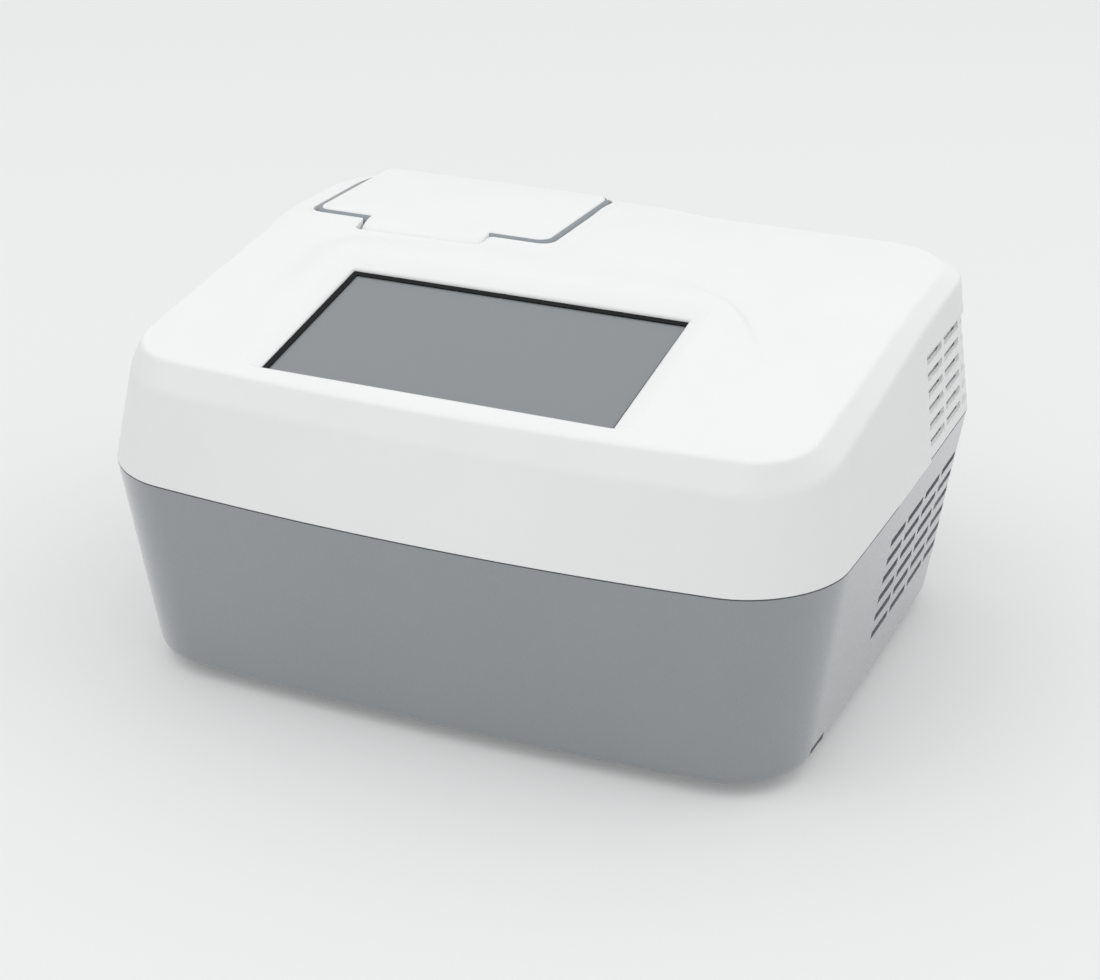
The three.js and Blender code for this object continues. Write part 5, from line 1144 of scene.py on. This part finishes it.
def moulded(name, colour, rough=0.42, grain=0.3, grain_mm=0.5, edge=0.3, spread=0.02, flow=0.0, coat=0.0, gloss=0.5):
    """Injection-moulded plastic or rubber: spark-eroded grain, faint flow mottling and softened edges.

    The grain of a real tool is about 0.05 mm; it is drawn at grain_mm so that it shows in a render.
    """
    material, tree, shader = new_material(name)
    place = add(tree, "ShaderNodeTexCoord").outputs["Object"]
    mottle = {"Scale": per_metre(36), "Detail": 4.0, "Roughness": 0.6, "Distortion": flow}
    broad = add(tree, "ShaderNodeTexNoise", mottle, Vector=place)
    base = add(tree, "ShaderNodeValToRGB", two_tone(colour, 1 - spread, 1 + spread), Fac=broad.outputs[0])
    sparks = {"Scale": per_metre(grain_mm), "Detail": 3.0, "Roughness": 0.55}
    fine = add(tree, "ShaderNodeTexNoise", sparks, Vector=place)
    polish = add(tree, "ShaderNodeMapRange", {1: 0.3, 2: 0.7, 3: rough - 0.04, 4: rough + 0.05}, i0=fine.outputs[0])
    soft = add(tree, "ShaderNodeBevel", {"samples": 6, "Radius": edge * MM})
    depth = {"Strength": grain, "Distance": 0.02 * MM}
    bump = add(tree, "ShaderNodeBump", depth, Height=fine.outputs[0], Normal=soft.outputs[0])
    link(tree, shader, Base_Color=base.outputs[0], Roughness=polish.outputs[0], Normal=bump.outputs[0])
    shader.inputs["Specular IOR Level"].default_value = gloss
    shader.inputs["Coat Weight"].default_value = coat
    shader.inputs["Coat Roughness"].default_value = 0.2
    return material


def worked_metal(name, colour, rough=0.3, axis=0, lay_mm=0.4, depth=0.5, blotch=0.1):
    """Metal with tool or rolling marks along one axis; finer than a tenth of a millimetre in the real one,
    drawn at lay_mm across and thirty times as long, with faint blotches of handling and oxide."""
    material, tree, shader = new_material(name)
    place = add(tree, "ShaderNodeTexCoord").outputs["Object"]
    stretch = [1.0, 1.0, 1.0]
    stretch[axis] = 0.03
    laid = add(tree, "ShaderNodeMapping", {"Scale": stretch}, Vector=place)
    lay = add(tree, "ShaderNodeTexNoise", {"Scale": per_metre(lay_mm), "Detail": 3.0}, Vector=laid.outputs[0])
    broad = add(tree, "ShaderNodeTexNoise", {"Scale": per_metre(11), "Detail": 5.0}, Vector=place)
    base = add(tree, "ShaderNodeValToRGB", two_tone(colour, 1 - blotch, 1.0), Fac=broad.outputs[0])
    polish = add(tree, "ShaderNodeMapRange", {1: 0.3, 2: 0.7, 3: rough - 0.07, 4: rough + 0.12}, i0=lay.outputs[0])
    soft = add(tree, "ShaderNodeBevel", {"samples": 4, "Radius": 0.15 * MM})
    marks = {"Strength": depth, "Distance": 0.01 * MM}
    bump = add(tree, "ShaderNodeBump", marks, Height=lay.outputs[0], Normal=soft.outputs[0])
    link(tree, shader, Base_Color=base.outputs[0], Roughness=polish.outputs[0], Normal=bump.outputs[0])
    shader.inputs["Metallic"].default_value = 1.0
    return material


def coated_screen(name, colour):
    """Screen that is switched off: an anti-glare coat over a dark-grey stack, faint pixel rows beneath.

    Real pixels are 0.15 mm apart; their rows are drawn 1.2 mm apart so that they show.
    """
    material, tree, shader = new_material(name)
    place = add(tree, "ShaderNodeTexCoord").outputs["Object"]
    bands = {"wave_type": "BANDS", "bands_direction": "X", "Scale": per_metre(1.2), "Distortion": 0.0}
    rows = add(tree, "ShaderNodeTexWave", bands, Vector=place)
    base = add(tree, "ShaderNodeValToRGB", two_tone(colour, 0.985, 1.01, 0.0, 1.0), Fac=rows.outputs[0])
    haze = add(tree, "ShaderNodeTexNoise", {"Scale": per_metre(0.3), "Detail": 2.0}, Vector=place)
    polish = add(tree, "ShaderNodeMapRange", {1: 0.3, 2: 0.7, 3: 0.28, 4: 0.36}, i0=haze.outputs[0])
    bump = add(tree, "ShaderNodeBump", {"Strength": 0.08, "Distance": 0.01 * MM}, Height=haze.outputs[0])
    link(tree, shader, Base_Color=base.outputs[0], Roughness=polish.outputs[0], Normal=bump.outputs[0])
    return material


def solder_mask(name, colour, low=0.0, high=1.0, over="26282a"):
    """Circuit board: glossy green mask with fine copper tracks under it, and dark parts between two levels."""
    material, tree, shader = new_material(name)
    place = add(tree, "ShaderNodeTexCoord").outputs["Object"]
    tracks = add(tree, "ShaderNodeTexBrick", {
        "Scale": per_metre(9), "Mortar Size": 0.03, "Mortar Smooth": 0.3, "Brick Width": 0.9, "Row Height": 0.13,
        "Color1": tinted(colour, 1.0), "Color2": tinted(colour, 0.86), "Mortar": tinted(colour, 1.7),
    }, Vector=place)
    split = add(tree, "ShaderNodeSeparateXYZ", Vector=place)
    band = {"operation": "COMPARE", 1: (low + high) / 2 * MM, 2: (high - low) / 2 * MM}
    past = add(tree, "ShaderNodeMath", band, i0=split.outputs[2])
    speck = add(tree, "ShaderNodeTexNoise", {"Scale": per_metre(2), "Detail": 2.0}, Vector=place)
    parts = add(tree, "ShaderNodeValToRGB", two_tone(linear(over), 0.8, 1.15), Fac=speck.outputs[0])
    mix = add(
        tree, "ShaderNodeMix", {"data_type": "RGBA"},
        Factor=past.outputs[0], i6=tracks.outputs[0], i7=parts.outputs[0],
    )
    polish = add(tree, "ShaderNodeMapRange", {1: 0.0, 2: 1.0, 3: 0.32, 4: 0.6}, i0=past.outputs[0])
    bump = add(tree, "ShaderNodeBump", {"Strength": 0.25, "Distance": 0.03 * MM}, Height=tracks.outputs[1])
    link(tree, shader, Base_Color=mix.outputs[2], Roughness=polish.outputs[0], Normal=bump.outputs[0])
    return material


def fired_or_foamed(name, colour, rough=0.5, cell_mm=1.0, depth=0.5, spread=0.1):
    """Cellular or sintered solid: grains or closed cells of cell_mm, with painted shade in the pits between them."""
    material, tree, shader = new_material(name)
    place = add(tree, "ShaderNodeTexCoord").outputs["Object"]
    cells = add(tree, "ShaderNodeTexVoronoi", {"feature": "F1", "Scale": per_metre(cell_mm)}, Vector=place)
    pits = cells.outputs["Distance"]
    # Painted shade: the colour darkens from each cell's middle towards the pits at its edge
    base = add(tree, "ShaderNodeValToRGB", two_tone(colour, 1 + spread, 1 - spread, 0.1, 0.8), Fac=pits)
    polish = add(tree, "ShaderNodeMapRange", {1: 0.0, 2: 1.0, 3: rough - 0.05, 4: rough + 0.05}, i0=pits)
    bump = add(tree, "ShaderNodeBump", {"Strength": depth, "Distance": 0.06 * MM, "invert": True}, Height=pits)
    link(tree, shader, Base_Color=base.outputs[0], Roughness=polish.outputs[0], Normal=bump.outputs[0])
    return material


def etched_film(name, colour):
    """Polyimide heater film: amber with its etched foil showing through as pale winding bands."""
    material, tree, shader = new_material(name)
    place = add(tree, "ShaderNodeTexCoord").outputs["Object"]
    winding = {"bands_direction": "Y", "Scale": per_metre(9), "Distortion": 1.2, "Detail": 1.0}
    foil = add(tree, "ShaderNodeTexWave", winding, Vector=place)
    base = add(tree, "ShaderNodeValToRGB", two_tone(colour, 0.8, 1.35, 0.42, 0.58), Fac=foil.outputs[0])
    polish = add(tree, "ShaderNodeMapRange", {1: 0.0, 2: 1.0, 3: 0.3, 4: 0.4}, i0=foil.outputs[0])
    bump = add(tree, "ShaderNodeBump", {"Strength": 0.3, "Distance": 0.04 * MM}, Height=foil.outputs[0])
    link(tree, shader, Base_Color=base.outputs[0], Roughness=polish.outputs[0], Normal=bump.outputs[0])
    return material


def polished_glass(name, colour):
    """Coated lens: smooth, dark blue-grey with faint polishing haze."""
    material, tree, shader = new_material(name)
    place = add(tree, "ShaderNodeTexCoord").outputs["Object"]
    haze = add(tree, "ShaderNodeTexNoise", {"Scale": per_metre(1.5), "Detail": 3.0}, Vector=place)
    base = add(tree, "ShaderNodeValToRGB", two_tone(colour, 0.9, 1.1), Fac=haze.outputs[0])
    polish = add(tree, "ShaderNodeMapRange", {1: 0.3, 2: 0.7, 3: 0.04, 4: 0.1}, i0=haze.outputs[0])
    bump = add(tree, "ShaderNodeBump", {"Strength": 0.04, "Distance": 0.01 * MM}, Height=haze.outputs[0])
    link(tree, shader, Base_Color=base.outputs[0], Roughness=polish.outputs[0], Normal=bump.outputs[0])
    shader.inputs["IOR"].default_value = 1.52
    shader.inputs["Coat Weight"].default_value = 0.4
    return material


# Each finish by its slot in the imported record: its material's name, how it is made, its colour, which is one of the
# user's or a hex value, and its settings
FINISHES = {
    # ABS moulded in a finely spark-eroded tool: bright, satin, hardly any colour change
    "white_shell": ("moulded_abs_white", moulded, "white_shell", dict(
        rough=0.36, grain=0.08, grain_mm=0.5, edge=0.35, spread=0.008,
    )),
    # ABS through-coloured grey, a little glossier, so that it picks up the table at a low angle
    "grey_shell": ("moulded_abs_grey", moulded, "grey_shell", dict(
        rough=0.3, grain=0.15, grain_mm=0.6, edge=0.3, spread=0.015, coat=1.0,
    )),
    # Polycarbonate blend of the lid's tray and the tub: satin grey
    "rim_grey": ("moulded_polycarbonate_grey", moulded, "rim_grey", dict(
        rough=0.38, grain=0.3, grain_mm=0.5, edge=0.25, spread=0.025,
    )),
    # Glass-filled nylon: near black, with fibre streaks that catch the light
    "black_plastic": ("glass_filled_nylon_black", moulded, "black_plastic", dict(
        rough=0.5, grain=0.5, grain_mm=0.7, edge=0.25, spread=0.12, flow=1.5,
    )),
    # Compression-moulded rubber: matt, dusty black
    "black_rubber": ("moulded_rubber_black", moulded, "black_rubber", dict(
        rough=0.75, grain=0.5, grain_mm=0.8, edge=0.25, spread=0.1, gloss=0.25,
    )),
    # Silicone extrusion: dull, slightly mottled grey
    "silicone_grey": ("extruded_silicone_grey", moulded, "6c7073", dict(
        rough=0.7, grain=0.3, grain_mm=0.9, edge=0.3, spread=0.05,
    )),
    # Glass with an anti-glare coat: an even grey with a soft sheen
    "display_face": ("anti_glare_glass", coated_screen, "display_face", {}),
    # Milled aluminium, clear anodised: pale, satin, with cutter marks along X
    "machined_aluminium": ("milled_anodised_aluminium", worked_metal, "aluminium", dict(
        rough=0.32, lay_mm=0.4, depth=0.5, blotch=0.08,
    )),
    # Ground and nickel-plated steel of pins, screws, rails and springs: bright, with fine grinding marks
    "bright_steel": ("ground_nickelled_steel", worked_metal, "bcbfc2", dict(
        rough=0.24, lay_mm=0.3, depth=0.35, blotch=0.08,
    )),
    # Cold-rolled steel sheet, zinc plated: rolling marks along X and cloudy plating
    "sheet_steel": ("zinc_plated_sheet_steel", worked_metal, "a9acaf", dict(
        rough=0.4, lay_mm=0.5, depth=0.5, blotch=0.16,
    )),
    # Drawn brass of the contact blades: warm, with draw marks along Y
    "pin_brass": ("drawn_brass", worked_metal, "bb9a60", dict(
        rough=0.3, axis=1, lay_mm=0.3, depth=0.3, blotch=0.12,
    )),
    # Glass-epoxy board with solder mask: glossy green with tracks, and black epoxy parts that stand on it
    "board_green": ("solder_masked_board", solder_mask, "board", dict(low=15.95, high=40.0, over="26282a")),
    # Sintered alumina of the heat pumps' plates: matt, warm white, fine-grained
    "ceramic_white": ("sintered_alumina", fired_or_foamed, "e2e0d8", dict(
        rough=0.5, cell_mm=0.6, depth=0.15, spread=0.03,
    )),
    # Closed-cell rubber foam: dull dark grey, pitted
    "foam_dark": ("closed_cell_foam", fired_or_foamed, "3d3f42", dict(
        rough=0.93, cell_mm=1.4, depth=1.0, spread=0.25,
    )),
    # Polyimide film over etched foil: translucent-looking amber with paler bands
    "heater_amber": ("polyimide_heater_film", etched_film, "b5622a", {}),
    # Coated optical glass: dark, with a sharp highlight
    "lens_glass": ("coated_optical_glass", polished_glass, "3a4d63", {}),
}


def finish(slot):
    """The finish of a material slot, made when first asked for."""
    name, make, colour, settings = FINISHES[slot]
    if name in bpy.data.materials:
        return bpy.data.materials[name]
    chosen = getattr(bpy.context.scene.cycler_colours, colour, None)
    return make(name, [*(linear(colour) if chosen is None else chosen), 1.0], **settings)


# Stage

# Share of the floor's tone that stays in the object's shadow
FLOOR_GLOW = 0.2


# The camera as fitted to the photograph: place in metres, angles in degrees, focal length in pixels of the image
CAMERA_PLACE = 0.38053, -0.86485, 0.48983
CAMERA_YAW, CAMERA_PITCH, CAMERA_ROLL = 23.69, 24.10, -0.43
FOCAL_PIXELS, IMAGE_WIDTH, SENSOR_MM = 2340, 1100, 36


def camera_rig():
    """Camera at the photograph's angle."""
    yaw, pitch, roll = (math.radians(angle) for angle in (CAMERA_YAW, CAMERA_PITCH, CAMERA_ROLL))
    forward = Vector((-math.sin(yaw) * math.cos(pitch), math.cos(yaw) * math.cos(pitch), -math.sin(pitch)))
    right = Vector((math.cos(yaw), math.sin(yaw), 0))
    down = forward.cross(right)
    rolled_right = math.cos(roll) * right + math.sin(roll) * down
    rolled_down = -math.sin(roll) * right + math.cos(roll) * down
    data = bpy.data.cameras.new("camera")
    data.lens = FOCAL_PIXELS / IMAGE_WIDTH * SENSOR_MM
    data.sensor_width = SENSOR_MM
    data.clip_end = 20
    camera = scene_object("camera", data)
    basis = Matrix((rolled_right, -rolled_down, -forward)).transposed().to_4x4()
    camera.matrix_world = Matrix.Translation(CAMERA_PLACE) @ basis
    bpy.context.scene.camera = camera


def softbox(name, place, target, extent, energy):
    """A rectangular lamp that faces a target."""
    data = bpy.data.lights.new(name, "AREA")
    data.shape = "RECTANGLE"
    data.size, data.size_y = extent
    data.energy = energy
    lamp = scene_object(name, data)
    lamp.location = place
    lamp.rotation_euler = (Vector(target) - Vector(place)).to_track_quat("-Z", "Y").to_euler()


def seen_rays(tree):
    """One for camera, glossy and transmission rays, nought for the rays that light the object."""
    path = add(tree, "ShaderNodeLightPath")
    seen = path.outputs["Is Camera Ray"]
    for ray in ("Is Glossy Ray", "Is Transmission Ray"):
        seen = add(tree, "ShaderNodeMath", {"operation": "MAXIMUM"}, i0=seen, i1=path.outputs[ray]).outputs[0]
    return seen


def studio_world():
    """Even pale light from all round."""
    world = bpy.data.worlds.new("studio")
    bpy.context.scene.world = world
    world.use_nodes = True
    background = world.node_tree.nodes["Background"]
    background.inputs[0].default_value = linear("f2f3f3") + [1]
    background.inputs[1].default_value = 0.97


def studio_floor():
    """Pale paper floor: darker for the rays that light the object, so that its walls keep their tone."""
    reach = 6
    corners = [(-reach, -reach, 0), (reach, -reach, 0), (reach, reach, 0), (-reach, reach, 0)]
    floor = mesh_of("floor", corners, [(0, 1, 2, 3)])
    material, tree, shader = new_material("floor_paper")
    shader.inputs["Roughness"].default_value = 0.9
    seen = seen_rays(tree)
    tones = {"data_type": "RGBA", 6: linear("b0b1b1") + [1], 7: linear("edeeee") + [1]}
    tone = add(tree, "ShaderNodeMix", tones, Factor=seen)
    link(tree, shader, Base_Color=tone.outputs[2])
    glow = add(tree, "ShaderNodeEmission", {"Color": linear("f0f0f0") + [1], "Strength": 1.0})
    share = add(tree, "ShaderNodeMath", {"operation": "MULTIPLY", 1: FLOOR_GLOW}, i0=seen)
    mix = add(tree, "ShaderNodeMixShader", i0=share.outputs[0], i1=shader.outputs[0], i2=glow.outputs[0])
    link(tree, tree.nodes["Material Output"], Surface=mix.outputs[0])
    floor.data.materials.append(material)
    floor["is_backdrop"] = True


# Operators

class CYCLER_OT_upper_housing(bpy.types.Operator):
    """Builds the white upper housing with its window, lid opening and air slots"""
    bl_idname, bl_label = "cycler.upper_housing", "Upper housing"

    def execute(self, context):
        stand_for(upper_shell(), "upper_housing", 28)
        return {"FINISHED"}


class CYCLER_OT_lower_housing(bpy.types.Operator):
    """Builds the grey lower housing with its air slots and rear collar"""
    bl_idname, bl_label = "cycler.lower_housing", "Lower housing"

    def execute(self, context):
        stand_for(lower_shell(), "lower_housing", 28)
        return {"FINISHED"}


class CYCLER_OT_lid(bpy.types.Operator):
    """Builds the lid's cover with its grip, its grey tray, seal, plate, posts, magnets and hinge pin"""
    bl_idname, bl_label = "cycler.lid", "Lid"

    def execute(self, context):
        stand_for(lid_cover(), "lid_cover", 40)
        stand_for(lid_rim(), "lid_frame", 35)
        stand_for(lid_seal(), "lid_seal", 60)
        stand_for(heated_plate(), "heated_plate")
        for index, side in ((1, -1), (2, 1)):
            stand_for(guide_post(side), f"guide_post_{index}", 35)
            stand_for(lid_magnet(side), f"lid_magnet_{index}", 35)
            compress(stand_for(plate_spring(side), f"plate_spring_{index}", 60))
        stand_for(along_pin("pin", 1.5, chamfer=0.3), "hinge_pin", 35)
        return {"FINISHED"}


class CYCLER_OT_chamber(bpy.types.Operator):
    """Builds the tub under the lid and the sample block with its wells"""
    bl_idname, bl_label = "cycler.chamber", "Sample chamber"

    def execute(self, context):
        stand_for(chamber_tub(), "chamber_tray", 32)
        stand_for(sample_block(), "sample_block", 32)
        return {"FINISHED"}


class CYCLER_OT_rear(bpy.types.Operator):
    """Builds the power inlet, switch and sockets on the rear panel"""
    bl_idname, bl_label = "cycler.rear", "Rear sockets"

    def execute(self, context):
        stand_for(power_inlet(), "power_inlet", 35)
        for index in (1, 2, 3):
            stand_for(inlet_pin(index), f"inlet_pin_{index}")
        stand_for(switch_body(), "switch_body", 35)
        stand_for(switch_rocker(), "switch_rocker", 40)
        stand_for(usb_socket(), "usb_socket")
        stand_for(network_socket(), "network_socket")
        return {"FINISHED"}


class CYCLER_OT_feet(bpy.types.Operator):
    """Builds the four rubber feet and the screws that join the housings"""
    bl_idname, bl_label = "cycler.feet", "Feet and screws"

    def execute(self, context):
        for index in (1, 2, 3, 4):
            stand_for(foot(index), f"foot_{index}", 40)
            stand_for(housing_screw(index), f"housing_screw_{index}", 35)
        return {"FINISHED"}


class CYCLER_OT_inside(bpy.types.Operator):
    """Builds the fan's rotor and the scanner's lead screw"""
    bl_idname, bl_label = "cycler.inside", "Fan and lead screw"

    def execute(self, context):
        stand_for(fan_rotor(), "fan_rotor", 40)
        stand_for(lead_screw(), "lead_screw", 60)
        return {"FINISHED"}


class CYCLER_OT_finishes(bpy.types.Operator):
    """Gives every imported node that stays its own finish"""
    bl_idname, bl_label = "cycler.finishes", "Finishes of packed nodes"

    def execute(self, context):
        for name, node in frame["nodes"].items():
            dress(node, name, 30)
        return {"FINISHED"}


class CYCLER_OT_stage(bpy.types.Operator):
    """Builds the floor, the lights and the camera"""
    bl_idname, bl_label = "cycler.stage", "Stage"

    def execute(self, context):
        bpy.context.scene.view_settings.view_transform = "Standard"
        studio_world()
        studio_floor()
        softbox("front_light", place=(-0.4, -1.2, 2.0), target=(0, 0, 0.1), extent=(2.4, 1.6), energy=8)
        softbox("side_light", place=(1.4, 0.4, 1.8), target=(0.1, 0, 0.08), extent=(1.6, 1.4), energy=4.5)
        camera_rig()
        return {"FINISHED"}


# In the order in which main runs them
STEPS = (
    CYCLER_OT_upper_housing, CYCLER_OT_lower_housing, CYCLER_OT_lid, CYCLER_OT_chamber, CYCLER_OT_rear,
    CYCLER_OT_feet, CYCLER_OT_inside, CYCLER_OT_finishes, CYCLER_OT_stage,
)


class CYCLER_PT_panel(bpy.types.Panel):
    """Sizes, colours and steps of the cycler's looks"""
    bl_idname, bl_label = "CYCLER_PT_panel", "Thermal cycler"
    bl_space_type, bl_region_type, bl_category = "VIEW_3D", "UI", "Cycler"

    def draw(self, context):
        for group in (context.scene.cycler_sizes, context.scene.cycler_colours):
            box = self.layout.box()
            for name in group.bl_rna.properties.keys():
                if name not in ("rna_type", "name"):
                    box.prop(group, name)
        for step in STEPS:
            self.layout.operator(step.bl_idname)


CLASSES = (CyclerSizes, CyclerColours) + STEPS + (CYCLER_PT_panel,)


def register():
    """Registers the settings, the operators and the panel."""
    for kind in CLASSES:
        bpy.utils.register_class(kind)
    bpy.types.Scene.cycler_sizes = PointerProperty(type=CyclerSizes)
    bpy.types.Scene.cycler_colours = PointerProperty(type=CyclerColours)


def unregister():
    """Undoes register."""
    del bpy.types.Scene.cycler_colours
    del bpy.types.Scene.cycler_sizes
    for kind in reversed(CLASSES):
        bpy.utils.unregister_class(kind)


def main():
    """Builds everything through the operators."""
    register()
    for step in STEPS:
        group, name = step.bl_idname.split(".")
        getattr(getattr(bpy.ops, group), name)()
    plain = lambda box: [[float(v) for v in corner] for corner in box]
    {"cad": plain(CAD_BOX), "scene": plain(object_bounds())}


if __name__ == "__main__":
    main()
